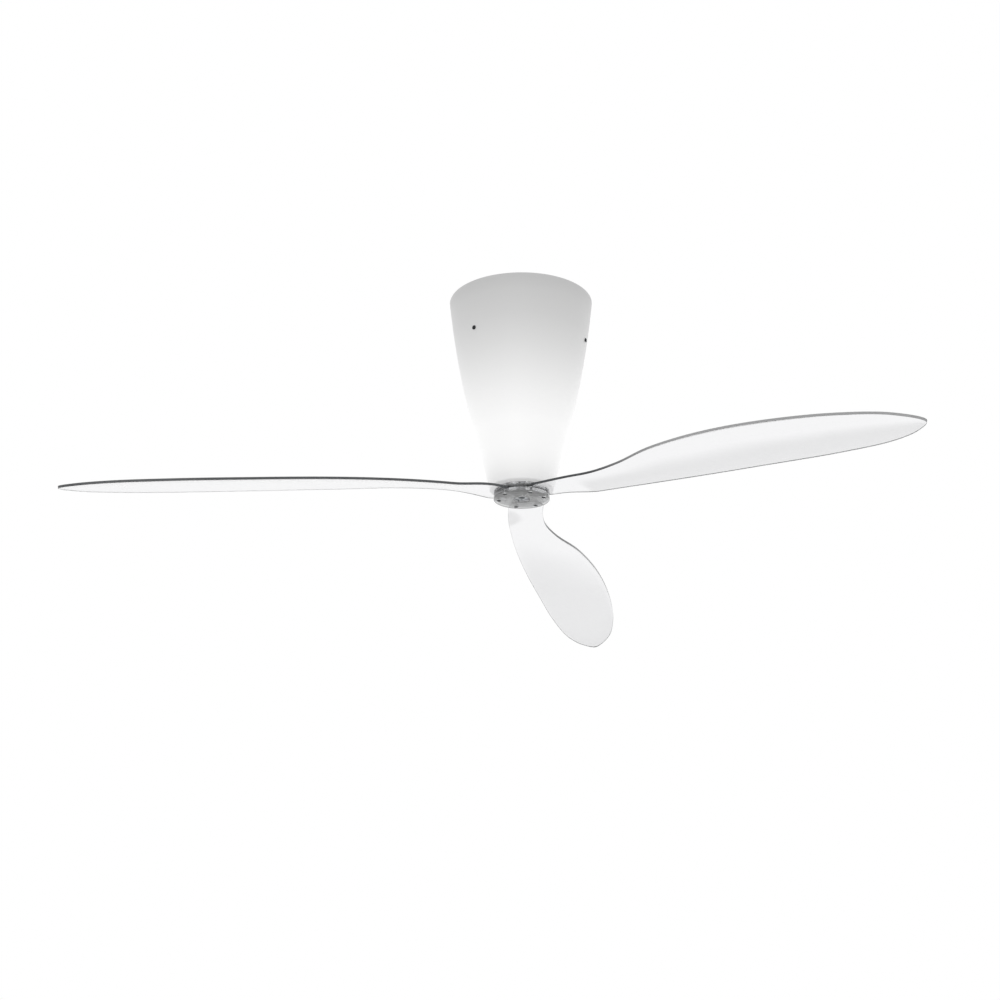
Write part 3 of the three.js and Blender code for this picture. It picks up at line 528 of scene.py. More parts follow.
def shade_outline(steps=48):
    low, high = shade_low.z, shade_high.z
    heights = [low + CORNER + (high - WALL / 2 - low - CORNER) * i / steps for i in range(steps + 1)]
    outside = [(shade_radius(z), z) for z in heights]
    rim = arc((shade_radius(heights[-1]) - WALL / 2, heights[-1]), WALL / 2, 20, 160)
    inside = [(shade_radius(z) - WALL, z) for z in reversed(heights[1:])]
    foot = arc((shade_radius(heights[0]) - CORNER, low + CORNER), CORNER, -90, 0)
    lip = arc((LIP_RADIUS + WALL / 2, low + WALL / 2), WALL / 2, 90, 270)
    return foot[:-1] + outside + rim + inside + [(shade_radius(low + WALL) - WALL, low + WALL)] + lip


shade = turned("shade_shell", shade_outline(), OPAL_PAINTED_GLOW, FIXED, sides=144, sharp=60)
dress(shade, "diffuser_shade")
print("shade:", round(2000 * rim_radius), "mm wide at the rim,", len(shade.data.polygons), "faces")

# %% [markdown]
# ## The blades
#
# Each blade is cut from 4 mm sheet to a slim S, then warmed and bent to its pitch and to a slight arch
# across, and it droops under its own weight like any cantilever. The outline goes through a few points
# on each edge. The height of any point follows from four things: the hub's height, the droop, the slope
# across the blade times the distance from its axis, and the arch. The arch is only 3 mm high, but the
# photograph shows it: each face turns from white near one edge to light grey near the other.

# %% The blades' outline and height
TIP_RADIUS = 725 * MM
ROOT_RADIUS = 46 * MM
ROOT_END = (20 * MM, 20 * MM)    # inner end of the root: radius and half width
TIP_SAG = 65.8 * MM
PITCH_MIDDLE, PITCH_TIP = 0.182, 0.159
TWIST_SHARE = 0.12
CAMBER = 0.025           # arch of the section, as a share of the blade's width
TIP = (723.3, 6)         # a little inside the frame's own tip, which is cut straight
LEADING_EDGE = [(46, -27), (100, -14.5), (150, -9), (210, -17), (290, -40),
                (400, -56), (520, -57.5), (620, -46.5), (690, -25)]
TRAILING_EDGE = [(46, 32), (100, 44), (150, 51), (220, 58), (320, 62.5),
                 (440, 61.5), (560, 57.5), (650, 46.5), (700, 27.5)]
blade_low, blade_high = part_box("hub_spacer")
SHEET = blade_high.z - blade_low.z
blade_middle = (blade_high.z + blade_low.z) / 2


def between(a, b, start, end, t):
    return a + (b - a) * ((t - start) / (end - start))


def smooth_curve(points, per_span, power=0.5):
    """A Catmull-Rom curve through the points: centripetal with a power of 0.5, uniform with 0."""
    pts = [Vector(p) for p in points]
    pts = [2 * pts[0] - pts[1]] + pts + [2 * pts[-1] - pts[-2]]
    curve = []
    for a, b, c, d in zip(pts, pts[1:], pts[2:], pts[3:]):
        ta = 0.0
        tb = ta + (b - a).length ** power
        tc = tb + (c - b).length ** power
        td = tc + (d - c).length ** power
        for i in range(per_span):
            t = tb + (tc - tb) * i / per_span
            ab, bc, cd = between(a, b, ta, tb, t), between(b, c, tb, tc, t), between(c, d, tc, td, t)
            abc, bcd = between(ab, bc, ta, tc, t), between(bc, cd, tb, td, t)
            curve.append(between(abc, bcd, tb, tc, t))
    return curve + [pts[-2]]


def droop(share):
    return share ** 2 * (6 - 4 * share + share ** 2) / 3


def pitch_at(share):
    t = min(share / TWIST_SHARE, 1)
    outer = max((share - 0.6) / 0.4, 0)
    return PITCH_MIDDLE * t * t * (3 - 2 * t) + (PITCH_TIP - PITCH_MIDDLE) * outer


def free_share(out):
    return max((out - ROOT_RADIUS) / (TIP_RADIUS - ROOT_RADIUS), 0)


def blade_height(out, left):
    share = free_share(out)
    return blade_middle - TIP_SAG * droop(share) - left * pitch_at(share)


def camber(right, left, share):
    """How far the sheet arches above the straight line from edge to edge, at a share of the way."""
    freed = pitch_at(free_share((right.x + left.x) / 2)) / PITCH_MIDDLE
    return CAMBER * freed * (left - right).length * 4 * share * (1 - share)


edge = [p * MM for p in smooth_curve(LEADING_EDGE + [TIP] + TRAILING_EDGE[::-1], per_span=12)]
outline = [Vector((ROOT_END[0], -ROOT_END[1]))] + edge + [Vector(ROOT_END)]
tip_sag = blade_middle - blade_height(TIP_RADIUS, 0)
print("blade outline:", len(outline), "points, sag", round(1000 * tip_sag, 1), "mm")

# %% [markdown]
# ## A blade as one closed sheet
#
# The sheet is meshed in rows across the blade, from the root's end to the tip, with a band around the
# whole outline that rolls over from the upper face to the lower one. A blade is cut flat and bent
# afterwards, so its rim stays square to the sheet: each face lies out along the sheet's own normal. A
# rim that stood upright instead would trap the light inside, and the far edges would turn black. The
# rim gets its mark here, which sets its painted shade. The mark is highest at the root and falls along
# the leading edge further out, as the picture shows: dark near the hub and pale towards the tip.

# %% The blades
EDGE_ROUND = 0.2 * MM
STRIPS = 12
BLADE_AZIMUTHS = (90, 210, 330)
SCREW_RING, SCREW_SPREAD = 37 * MM, 26      # radius, and degrees to each side of the blade
SCREW_HOLE = 2.2 * MM
PALE_RIM_FROM, PALE_RIM_TO = 150 * MM, 320 * MM    # the leading edge's painted shade turns paler between these radii


def inward(points, i):
    """The outline's inward normal at a point, longer at corners, so that the inset stays parallel."""
    before = (points[i] - points[i - 1]).normalized()
    after = (points[(i + 1) % len(points)] - points[i]).normalized()
    normal = Vector((-(before + after).y, (before + after).x)).normalized()
    return normal / max(normal.dot(Vector((-after.y, after.x))), 0.5)


def lean(i, share):
    """How far the sheet's normal leans over per unit of height, part of the way across from point i."""
    right, left = outline[i], outline[len(outline) - 1 - i]
    at, step = right.lerp(left, share), 0.5 * MM
    slope = Vector((blade_height(at.x + step, at.y) - blade_height(at.x - step, at.y),
                    blade_height(at.x, at.y + step) - blade_height(at.x, at.y - step))) / (2 * step)
    arch = 4 * CAMBER * (1 - 2 * share) * pitch_at(free_share((right.x + left.x) / 2)) / PITCH_MIDDLE
    return -(slope + (left - right).normalized() * arch)


def blade_mesh():
    normals = [inward(outline, i) for i in range(len(outline))]
    count, middle = len(outline), len(outline) // 2
    leans = [lean(i, 0) if i < middle else lean(count - 1 - i, 1) for i in range(count)]
    roll = [(EDGE_ROUND * (1 - sin(a)), EDGE_ROUND * (1 - cos(a)))
            for a in (pi / 2 * k / 3 for k in range(4))]
    band = [(inset, 1, below) for inset, below in roll]
    band += [(inset, -1, below) for inset, below in roll[::-1]]
    vertices, faces, places = [], [], []

    def put(point, leaning, face, below=0.0, arch=0.0):
        """face is 1 for the upper face and -1 for the lower; below is how far the point lies under it."""
        lift = face * (SHEET / 2 - below) / (1 + leaning.length_squared)
        vertices.append((*(point + leaning * lift), blade_height(point.x, point.y) + arch + lift))
        places.append(point)
        return len(vertices) - 1

    rings = [[put(p + n * inset, leaning, face, below) for p, n, leaning in zip(outline, normals, leans)]
             for inset, face, below in band]
    for upper, lower in zip(rings, rings[1:]):
        faces += [(upper[i], lower[i], lower[(i + 1) % count], upper[(i + 1) % count]) for i in range(count)]
    for ring, face in ((rings[0], 1), (rings[-1], -1)):
        rows = []
        for i in range(middle):
            right, left = (places[ring[k]] for k in (i, count - 1 - i))
            inner = [put(right.lerp(left, k / STRIPS), lean(i, k / STRIPS), face,
                         arch=camber(right, left, k / STRIPS)) for k in range(1, STRIPS)]
            rows.append([ring[i]] + inner + [ring[count - 1 - i]])
        for row, ahead in zip(rows, rows[1:]):
            faces += [(row[k], ahead[k], ahead[k + 1], row[k + 1]) for k in range(STRIPS)]
        faces += [(rows[-1][k], ring[middle], rows[-1][k + 1]) for k in range(STRIPS)]
    return vertices, faces, (len(rings) - 1) * count


def sawn_rim_shade_mark(i):
    """The rim's painted-shade mark from outline point i to the next; the leading edge is the outline's first
    half.
    """
    if not 0 < i < len(outline) // 2:
        return TRAILING_MARK
    share = (outline[i].x - PALE_RIM_FROM) / (PALE_RIM_TO - PALE_RIM_FROM)
    return ROOT_MARK + (PALE_RIM_MARK - ROOT_MARK) * min(max(share, 0), 1)


blade_vertices, blade_faces, rim_faces = blade_mesh()
blade = shape("blade_sheet_1", blade_vertices, blade_faces, BLADE_ACRYLIC)
# Each rim face gets its mark, and with it the depth of its painted shade.
marks = blade.data.attributes.new(SAWN_AND_SHADE, "FLOAT", "FACE")
for face in range(rim_faces):
    marks.data[face].value = sawn_rim_shade_mark(face % len(outline))
root_holes = [around(SCREW_RING, side * SCREW_SPREAD) for side in (-1, 1)]
combine(blade, rods_at(root_holes, SCREW_HOLE, blade_low.z - 2 * FAR, blade_high.z + 2 * FAR, BLADE_ACRYLIC),
        sharp=15)    # the faces stay flat up to the rim: a softened corner would bend light
sheets = [blade] + [new_piece(f"blade_sheet_{number}", blade.data.copy()) for number in (2, 3)]
for number, (piece, azimuth) in enumerate(zip(sheets, BLADE_AZIMUTHS), start=1):
    piece.data.transform(Matrix.Rotation(radians(azimuth), 4, "Z"))
    bpy.context.view_layer.update()
    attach(piece, ROTOR)
    dress(piece, f"blade_{number}")
print("blades:", len(blade.data.polygons), "faces each")

# %% [markdown]
# ## The hub
#
# Two turned discs of clear acrylic clamp the blade roots, with a spacer ring between them at the shaft.
# Their corners are broken by half a millimetre. The heads of the six screws and their nuts are let into
# the discs, and the washer sits in a wide counterbore, so the underside is flat. The holes are cut with
# real tools' shapes, because in clear plastic every hole shows.

# %% Hub discs and spacer
SHAFT_BORE, SPACER_BORE = 6.3 * MM, 8 * MM
HEAD_RADIUS, HEAD_HEIGHT = 3.4 * MM, 2.6 * MM
NUT_RADIUS, NUT_HEIGHT = 3.9 * MM, 2.6 * MM
POCKET_GAP, POCKET_DEPTH = 0.3 * MM, 0.4 * MM    # room around and behind a head or nut in its pocket
BROKEN_CORNER, SPACER_CORNER = 0.5 * MM, 0.3 * MM
hub_radius, hub_low, lower_top, _ = size_of("hub_lower_disc")
_, upper_low, hub_high, _ = size_of("hub_upper_disc")
washer_radius, washer_low, washer_high, _ = size_of("hub_washer")
screw_places = [around(SCREW_RING, azimuth + side * SCREW_SPREAD)
                for azimuth in BLADE_AZIMUTHS for side in (-1, 1)]


def hub_disc(name, low, high):
    return ring(name, 0, hub_radius, low, high, BROKEN_CORNER, HUB_ACRYLIC, ROTOR, sides=128, sharp=40)


def bores(places, radius, low, high, sides=40):
    return rods_at(places, radius, low, high, HUB_ACRYLIC, sides)


lower_disc = hub_disc("hub_disc_lower", hub_low, lower_top)
combine(lower_disc, bores(ON_AXIS, SHAFT_BORE, hub_low - FAR, lower_top + FAR)
        + bores(ON_AXIS, washer_radius + POCKET_GAP, hub_low - FAR, washer_high + SEAT, sides=64)
        + bores(screw_places, SCREW_HOLE, hub_low - FAR, lower_top + FAR)
        + bores(screw_places, HEAD_RADIUS + POCKET_GAP, hub_low - FAR, hub_low + HEAD_HEIGHT + POCKET_DEPTH))
dress(lower_disc, "hub_lower_disc")

upper_disc = hub_disc("hub_disc_upper", upper_low, hub_high)
combine(upper_disc, bores(ON_AXIS, SHAFT_BORE, upper_low - FAR, hub_high + FAR)
        + bores(screw_places, SCREW_HOLE, upper_low - FAR, hub_high + FAR)
        + bores(screw_places, NUT_RADIUS + POCKET_GAP, hub_high - NUT_HEIGHT - POCKET_DEPTH, hub_high + FAR))
dress(upper_disc, "hub_upper_disc")

spacer = ring("hub_spacer_ring", SPACER_BORE, size_of("hub_spacer")[0], blade_low.z, blade_high.z,
              SPACER_CORNER, HUB_ACRYLIC, ROTOR, sides=96, sharp=40)
dress(spacer, "hub_spacer")
print("hub:", round(2000 * hub_radius), "mm across, lower disc", len(lower_disc.data.polygons), "faces")

# %% [markdown]
# ## Flange, washer and screws in the hub
#
# The flange is turned from aluminium bar: a flat foot, a fillet, and a boss that holds the shaft with a
# set screw. Its faces carry the lathe's fine rings. The screws are black socket heads with a six-sided
# drive, and their threads show through the clear plastic. A thread is a ridge that climbs by one pitch
# a turn, so the screw's surface is a grid whose radius rises and falls along a helix.

# %% Threads, screws and nuts
M4 = (2 * MM, 0.7 * MM)     # outside radius and pitch of the threads
M5 = (2.5 * MM, 0.8 * MM)
M6 = (3 * MM, 1 * MM)


def threaded(radius, pitch, low, high, material, place=Matrix(), sides=20):
    """A threaded rod of that outside radius with pointed ridges that climb by pitch each turn."""
    depth = 0.6 * pitch
    steps = max(int((high - low) / pitch * 4), 4)
    vertices = []
    for row in range(steps + 1):
        height = low + (high - low) * row / steps
        for i in range(sides):
            wave = abs((height / pitch - i / sides) % 1 * 2 - 1)
            reach = radius - depth * (1 - wave) if 0 < row < steps else radius - depth
            turn = 2 * pi * i / sides
            vertices.append(place @ Vector((reach * cos(turn), reach * sin(turn), height)))
    return shape("thread", vertices, tube_faces(steps + 1, sides), material, sharp=25)


def socket_head(radius, low, high, recess, material, place, downward=True):
    """A cap screw's head with a six-sided recess in its outer face."""
    head = ring("head", 0, radius, low, high, 0.35 * MM, material, place=place, sides=40)
    depth = 0.55 * (high - low)
    key = (low - FAR, low + depth) if downward else (high - depth, high + FAR)
    return combine(head, [rod(recess, *key, material, place, sides=6)])


def hex_nut(radius, hole, low, high, material, place):
    """A six-sided nut whose corners are turned off. hole is a radius."""
    nut = rod(radius, low, high, material, place, sides=6)
    crown = ring("crown", 0, radius * 0.98, low, high, 0.5 * MM, material, place=place, sides=40)
    combine(nut, [crown], "INTERSECT")
    return combine(nut, [rod(hole, low - FAR, high + FAR, material, place, sides=24)])


def joined(name, pieces, body):
    """One object from several meshes, in the order given."""
    whole, materials = bmesh.new(), []
    for piece in pieces:
        start = len(whole.faces)
        whole.from_mesh(piece.data)
        whole.faces.ensure_lookup_table()
        materials += [m for m in piece.data.materials if m not in materials]
        slots = [materials.index(m) for m in piece.data.materials]
        for face in whole.faces[start:]:
            face.material_index = slots[min(face.material_index, len(slots) - 1)]
    mesh = bpy.data.meshes.new(name)
    whole.to_mesh(mesh)
    whole.free()
    for material in materials:
        mesh.materials.append(material)
    for piece in pieces:
        bpy.data.objects.remove(piece)
    return new_piece(name, mesh, body)


for number, centre in enumerate(screw_places, start=1):
    place = upright(centre)
    low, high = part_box(f"blade_screw_{number}")
    head = socket_head(HEAD_RADIUS, low.z, low.z + HEAD_HEIGHT, 1.7 * MM, BLACK_OXIDE, place)
    nut = hex_nut(NUT_RADIUS, 1.6 * MM, high.z - NUT_HEIGHT, high.z - 0.1 * MM, BLACK_OXIDE, place)
    stem = threaded(*M4, low.z + HEAD_HEIGHT - 0.3 * MM, high.z, BLACK_OXIDE, place)
    screw = joined(f"blade_screw_and_nut_{number}", [head, nut, stem], ROTOR)
    dress(screw, f"blade_screw_{number}")

# %% Flange, set screw, washer and bolt
FLANGE_HEIGHT, BOSS_RADIUS, FLANGE_BORE = 6 * MM, 11 * MM, 6.05 * MM
FILLET, CHAMFER, BOSS_CHAMFER = 3 * MM, 0.5 * MM, 0.8 * MM
SET_HOLE, SET_THREAD, SET_KEY = 2.2 * MM, (2.05 * MM, 0.7 * MM), 1.1 * MM
WASHER_HOLE, WASHER_CORNER = 2.7 * MM, 0.3 * MM
DOME_RADIUS, DOME_HEIGHT, DOME_RISE, DOME_KEY = 5 * MM, 2.1 * MM, 0.9 * MM, 1.75 * MM
flange_radius, flange_low, boss_high, _ = size_of("hub_flange")
flange_top = flange_low + FLANGE_HEIGHT
fillet = arc((BOSS_RADIUS + FILLET, flange_top + FILLET), FILLET, 270, 180, steps=6)
flange = turned("turned_flange", [
    (FLANGE_BORE, flange_low + CHAMFER), (FLANGE_BORE + CHAMFER, flange_low),
    (flange_radius - CHAMFER, flange_low), (flange_radius, flange_low + CHAMFER),
    (flange_radius, flange_top - CHAMFER), (flange_radius - CHAMFER, flange_top)] + fillet + [
    (BOSS_RADIUS, boss_high - BOSS_CHAMFER), (BOSS_RADIUS - BOSS_CHAMFER, boss_high),
    (FLANGE_BORE + CHAMFER, boss_high), (FLANGE_BORE, boss_high - CHAMFER)],
    TURNED_ALUMINIUM, ROTOR, sides=128)
set_low, set_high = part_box("flange_set_screw")
set_place = radial(90, (set_low.z + set_high.z) / 2)
combine(flange, [rod(SET_HOLE, 4 * MM, BOSS_RADIUS + FAR, TURNED_ALUMINIUM, set_place)])
dress(flange, "hub_flange")
grub = threaded(*SET_THREAD, set_low.y, set_high.y, BLACK_OXIDE, set_place)
combine(grub, [rod(SET_KEY, set_high.y - 2 * MM, set_high.y + FAR, BLACK_OXIDE, set_place, sides=6)])
dress(joined("grub_screw", [grub], ROTOR), "flange_set_screw")

washer = ring("hub_washer_ring", WASHER_HOLE, washer_radius, washer_low, washer_high, WASHER_CORNER,
              BRIGHT_STEEL, ROTOR, sides=96)
dress(washer, "hub_washer")
bolt_low, bolt_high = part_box("hub_bolt")
dome = [(DOME_RADIUS * sin(radians(a)), bolt_low.z + DOME_RISE * (1 - cos(radians(a))))
        for a in range(15, 91, 15)]
dome = [(0, bolt_low.z)] + dome + [(DOME_RADIUS, bolt_low.z + DOME_HEIGHT), (0, bolt_low.z + DOME_HEIGHT)]
bolt_head = combine(turned("bolt_head", dome, BRIGHT_STEEL, sides=48), [
    rod(DOME_KEY, bolt_low.z - FAR, bolt_low.z + 1.3 * MM, BRIGHT_STEEL, sides=6)])
bolt_stem = threaded(*M5, bolt_low.z + 1.6 * MM, bolt_high.z, BRIGHT_STEEL)
dress(joined("hub_bolt_dome", [bolt_head, bolt_stem], ROTOR), "hub_bolt")
print("hub fittings: 6 screws with nuts, flange, grub screw, washer and bolt")

# %% [markdown]
# ## The shade's screws
#
# Three small screws hold the shade to the carrier inside, and two of them show in the photograph as dark
# dots. Each is a pan head with a cross recess, about 7 mm across, in black oxide. Its place comes from
# the frame, and the shade gets a hole there, so that the screw passes through the wall.

# %% Shade screws and their holes
SCREW_AZIMUTHS = (-2, 118, 238)
PAN_RADIUS, PAN_HEIGHT, SHANK_RADIUS = 3.6 * MM, 2 * MM, 2.4 * MM
CROSS = (3.4 * MM, 0.8 * MM)    # length and width of a bar of the recess


def cross_recess(face, depth, place):
    """A tool that cuts a cross recess into a face at that distance along its axis."""
    centre = (0, 0, face - depth / 2 + FAR / 2)
    bars = [block((*bar, depth + FAR), centre, BLACK_OXIDE, place) for bar in (CROSS, CROSS[::-1])]
    return combine(bars[0], [bars[1]], "UNION")


screw_low, screw_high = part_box("shade_screw_1")
screw_height = (screw_low.z + screw_high.z) / 2
screw_end = screw_low.x + SHANK_RADIUS * sin(radians(abs(SCREW_AZIMUTHS[0])))
head_face = shade_radius(screw_height + PAN_RADIUS) + SEAT + PAN_HEIGHT
combine(shade, [rod(SHANK_RADIUS + 0.4 * MM, head_face - 14 * MM, head_face, OPAL_PAINTED_GLOW,
                    radial(azimuth, screw_height)) for azimuth in SCREW_AZIMUTHS])
pan = [(PAN_RADIUS * cos(radians(a)), head_face - PAN_HEIGHT * (1 - (0.3 + 0.7 * sin(radians(a)))))
       for a in range(0, 90, 15)]
pan = [(0, head_face - PAN_HEIGHT), (PAN_RADIUS, head_face - PAN_HEIGHT)] + pan + [(0, head_face)]
for number, azimuth in enumerate(SCREW_AZIMUTHS, start=1):
    place = radial(azimuth, screw_height)
    head = combine(turned("head", pan, BLACK_OXIDE, place=place, sides=32),
                   [cross_recess(head_face, 1.1 * MM, place)])
    stem = threaded(SHANK_RADIUS, 0.8 * MM, screw_end, head_face - PAN_HEIGHT + SEAT, BLACK_OXIDE, place)
    dress(joined(f"shade_screw_pan_{number}", [head, stem], FIXED), f"shade_screw_{number}")
print("shade screws at", round(1000 * screw_height), "mm, heads reach", round(1000 * head_face, 1), "mm out")

# %% [markdown]
# ## Ceiling plate, studs and carrier
#
# The plate is pressed from 3 mm steel, drilled for the ceiling screws, the studs and the cable, and then
# zinc plated, so its holes are plated too and its edges are slightly rolled. A rubber grommet lines the
# cable's hole. Three threaded studs carry everything else: the shade's carrier hangs on nuts, and the
# motor hangs below it on rubber bushes that keep its hum out of the ceiling.

# %% Ceiling plate, grommet and earth screw
STUD_RADIUS, FIXING_HOLE, CABLE_HOLE = 3 * MM, 3.2 * MM, 10 * MM
GROMMET_BORE, GROMMET_RADIUS, GROMMET_NECK = 7.5 * MM, 12 * MM, 9.8 * MM
EARTH_HEAD, EARTH_HEIGHT = 3.6 * MM, 2.8 * MM
PRESSED_EDGE = 0.8 * MM
plate_radius, plate_low, plate_high, _ = size_of("ceiling_plate")
stud_places = [around(30 * MM, azimuth) for azimuth in (30, 150, 270)]
fixing_places = [around(60 * MM, azimuth) for azimuth in (45, 135, 225, 315)]
cable_place = size_of("cable_grommet")[3]
plate = ring("ceiling_plate_pressed", 0, plate_radius, plate_low, plate_high, PRESSED_EDGE, ZINC, FIXED,
             sides=128)
combine(plate, holes_through(stud_places, STUD_RADIUS + SEAT, plate_low, plate_high, ZINC)
        + holes_through(fixing_places, FIXING_HOLE, plate_low, plate_high, ZINC)
        + holes_through([cable_place], CABLE_HOLE, plate_low, plate_high, ZINC))
dress(rounded(plate, 0.3 * MM), "ceiling_plate")

_, cable_low, cable_high, _ = size_of("cable_grommet")
grommet = turned("cable_grommet_moulded", soft_outline(
    [(GROMMET_BORE, cable_low), (GROMMET_RADIUS, cable_low), (GROMMET_RADIUS, plate_low - SEAT),
     (GROMMET_NECK, plate_low - SEAT), (GROMMET_NECK, cable_high), (GROMMET_BORE, cable_high)], 0.7 * MM),
    RUBBER, FIXED, place=upright(cable_place), sides=64)
dress(grommet, "cable_grommet")

_, earth_low, _, earth_centre = size_of("earth_screw")
earth_place, head_low = upright(earth_centre), plate_low - EARTH_HEIGHT
earth_head = combine(ring("head", 0, EARTH_HEAD, head_low, plate_low - SEAT, PRESSED_EDGE, BRASS,
                          place=earth_place, sides=40),
                     [block((9 * MM, 0.9 * MM, 2 * MM), (*earth_centre, head_low), BRASS)])
earth_tip = threaded(*M4, earth_low, head_low + 0.5 * MM, BRASS, earth_place)
dress(joined("earth_screw_slotted", [earth_head, earth_tip], FIXED), "earth_screw")

# %% Studs with their nuts, bushes and carrier
CARRIER_SHEET, NUT_THICKNESS, STUD_NUT_RADIUS = 3 * MM, 5 * MM, 5.4 * MM
BUSH_BORE, BUSH_RADIUS, BUSH_WAIST, BUSH_FLANGE, BUSH_SLOPE = 3.2 * MM, 10 * MM, 8.6 * MM, 2.2 * MM, 3 * MM
carrier_low, carrier_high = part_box("shade_carrier")
carrier_top = carrier_high.z
carrier_bottom = carrier_top - CARRIER_SHEET
for number, centre in enumerate(stud_places, start=1):
    place = upright(centre)
    low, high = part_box(f"hanger_stud_{number}")
    parts = [threaded(*M6, low.z, high.z, BRIGHT_STEEL, place, sides=24)]
    for nut_low in (plate_low - SEAT - NUT_THICKNESS, carrier_top + SEAT):
        parts.append(hex_nut(STUD_NUT_RADIUS, 2.5 * MM, nut_low, nut_low + NUT_THICKNESS,
                             BRIGHT_STEEL, place))
    dress(joined(f"hanger_stud_threaded_{number}", parts, FIXED), f"hanger_stud_{number}")
    low, high = (corner.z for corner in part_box(f"vibration_bush_{number}"))
    section = [(BUSH_BORE, low), (BUSH_RADIUS, low), (BUSH_RADIUS, low + BUSH_FLANGE),
               (BUSH_WAIST, low + BUSH_SLOPE), (BUSH_WAIST, high - BUSH_SLOPE),
               (BUSH_RADIUS, high - BUSH_FLANGE), (BUSH_RADIUS, high), (BUSH_BORE, high)]
    bush = turned(f"vibration_bush_moulded_{number}", soft_outline(section, 0.5 * MM), RUBBER, FIXED,
                  place=place, sides=48)
    dress(bush, f"vibration_bush_{number}")

# %% [markdown]
# ## The carrier's sheet and its bent tabs
#
# The carrier is laser cut as a disc with three short arms, and each arm is folded down into a tab that
# holds the shade. A folded sheet keeps its thickness around the bend, with an inside radius about equal
# to it. So the flat part is one outline pushed to the sheet's thickness, and each tab is a section drawn
# side on, with the bend as two arcs. A nut is welded behind each tab, and a pressed dimple in front
# touches the shade.

# %% Carrier
ARM_WIDTH, DIMPLE_RADIUS, CARRIER_RADIUS, BEND = 20 * MM, 6 * MM, 72 * MM, 3 * MM
TAB_CORNER = 0.5 * MM    # depth of the tab's cut corner, which is twice as high
tab_low = carrier_low.z
tab_face = shade_radius(tab_low) - WALL - 1.3 * MM
dimple_face = shade_radius(screw_height - DIMPLE_RADIUS) - WALL - 0.5 * MM
arm_end = tab_face - CARRIER_SHEET - BEND
tab_back = tab_face - CARRIER_SHEET
tab_hole = SHANK_RADIUS + SEAT


def carrier_sheet():
    """The flat part: a disc's edge interrupted by the three arms."""
    half = degrees(asin(ARM_WIDTH / 2 / CARRIER_RADIUS))
    edge = []
    for azimuth in SCREW_AZIMUTHS:
        turn = Matrix.Rotation(radians(azimuth), 2)
        edge += [turn @ Vector((arm_end, side * ARM_WIDTH / 2)) for side in (-1, 1)]
        first, last = azimuth + half, azimuth + 120 - half
        edge += [Vector(around(CARRIER_RADIUS, first + (last - first) * k / 40)) for k in range(41)]
    vertices = [(p.x, p.y, z) for z in (carrier_bottom, carrier_top) for p in edge]
    return shape("sheet", vertices, tube_faces(2, len(edge)), ZINC)


def bent_tab(azimuth):
    """An arm's end with its bend and its tab, as a section pushed across the arm's width."""
    centre = (arm_end, carrier_top - CARRIER_SHEET - BEND)
    section = [(arm_end, carrier_top)] + arc(centre, CARRIER_SHEET + BEND, 90, 0, steps=8)[1:]
    section += [(tab_face, tab_low + 2 * TAB_CORNER), (tab_face - TAB_CORNER, tab_low),
                (tab_back + TAB_CORNER, tab_low), (tab_back, tab_low + 2 * TAB_CORNER)]
    section += arc(centre, BEND, 0, 90, steps=8)
    place = upright((0, 0), azimuth)
    vertices = [place @ Vector((x, y, z)) for y in (-ARM_WIDTH / 2, ARM_WIDTH / 2) for x, z in section]
    tab = shape("tab", vertices, tube_faces(2, len(section)), ZINC, sharp=40)
    return combine(tab, [rod(tab_hole, tab_face - 2 * CARRIER_SHEET, tab_face + FAR, ZINC,
                             radial(azimuth, screw_height), sides=32)])


dimple = [(tab_hole, tab_face - 0.5 * MM), (DIMPLE_RADIUS, tab_face - 0.5 * MM), (DIMPLE_RADIUS, tab_face),
          (DIMPLE_RADIUS - 1.2 * MM, dimple_face - 0.2 * MM), (DIMPLE_RADIUS - 1.8 * MM, dimple_face),
          (tab_hole, dimple_face)]
holes = holes_through(stud_places, STUD_RADIUS + SEAT, carrier_bottom, carrier_top, ZINC)
holes += holes_through(ON_AXIS, 12 * MM, carrier_bottom, carrier_top, ZINC)
parts = [combine(carrier_sheet(), holes)]
for azimuth in SCREW_AZIMUTHS:
    place = radial(azimuth, screw_height)
    parts += [bent_tab(azimuth), turned("dimple", dimple, ZINC, place=place, sides=48),
              hex_nut(STUD_NUT_RADIUS, tab_hole, tab_back - NUT_THICKNESS, tab_back + 0.1 * MM,
                      BRIGHT_STEEL, place)]
dress(joined("shade_carrier_folded", parts, FIXED), "shade_carrier")
print("hanger: plate, grommet, earth screw, 3 studs, 3 bushes, carrier")

# %% [markdown]
# ## Motor
#
# The motor's two covers are die-cast aluminium cups that meet at mid height. The casting is rounded on
# all corners, and shallow grooves around each cup add cooling surface. Both cups are hollow, since the
# stator, the rotor and the bearings inside are solids of their own, which keep their frame shapes and
# only get their finishes: black varnished laminations, enamelled copper, cast aluminium, bright steel.

# %% Motor covers
CAST_WALL, COVER_CORNER, INNER_CORNER = 4 * MM, 5 * MM, 2 * MM
GROOVE_HEIGHT, GROOVE_DEPTH, GROOVES = 2.2 * MM, 0.9 * MM, 4
RACE_SEAT, BEARING_BOSS, BASE_BORE = 14.05 * MM, 18.05 * MM, 7.5 * MM
STUD_BOSS, BOLT_BOSS = 7 * MM, 5.5 * MM
STUD_HOLE, BOLT_HOLE, LEAD_HOLE = 3.1 * MM, 2.3 * MM, 3.3 * MM
OVERLAP = 1 * MM         # how far a boss reaches into the wall that it grows from
MOTOR_LEAD_AZIMUTH = 145
motor_radius, top_split, cover_top, _ = size_of("motor_top_cover")
_, base_bottom, low_split, _ = size_of("motor_bottom_cover")
bolt_centres = [size_of(f"motor_bolt_{number}")[3] for number in (1, 2, 3)]
inner_radius, cover_inside = motor_radius - CAST_WALL, cover_top - CAST_WALL
lead_exit = cover_inside - 12 * MM
stud_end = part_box("hanger_stud_1")[0].z
core_low, core_high = (corner.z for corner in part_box("stator_core"))


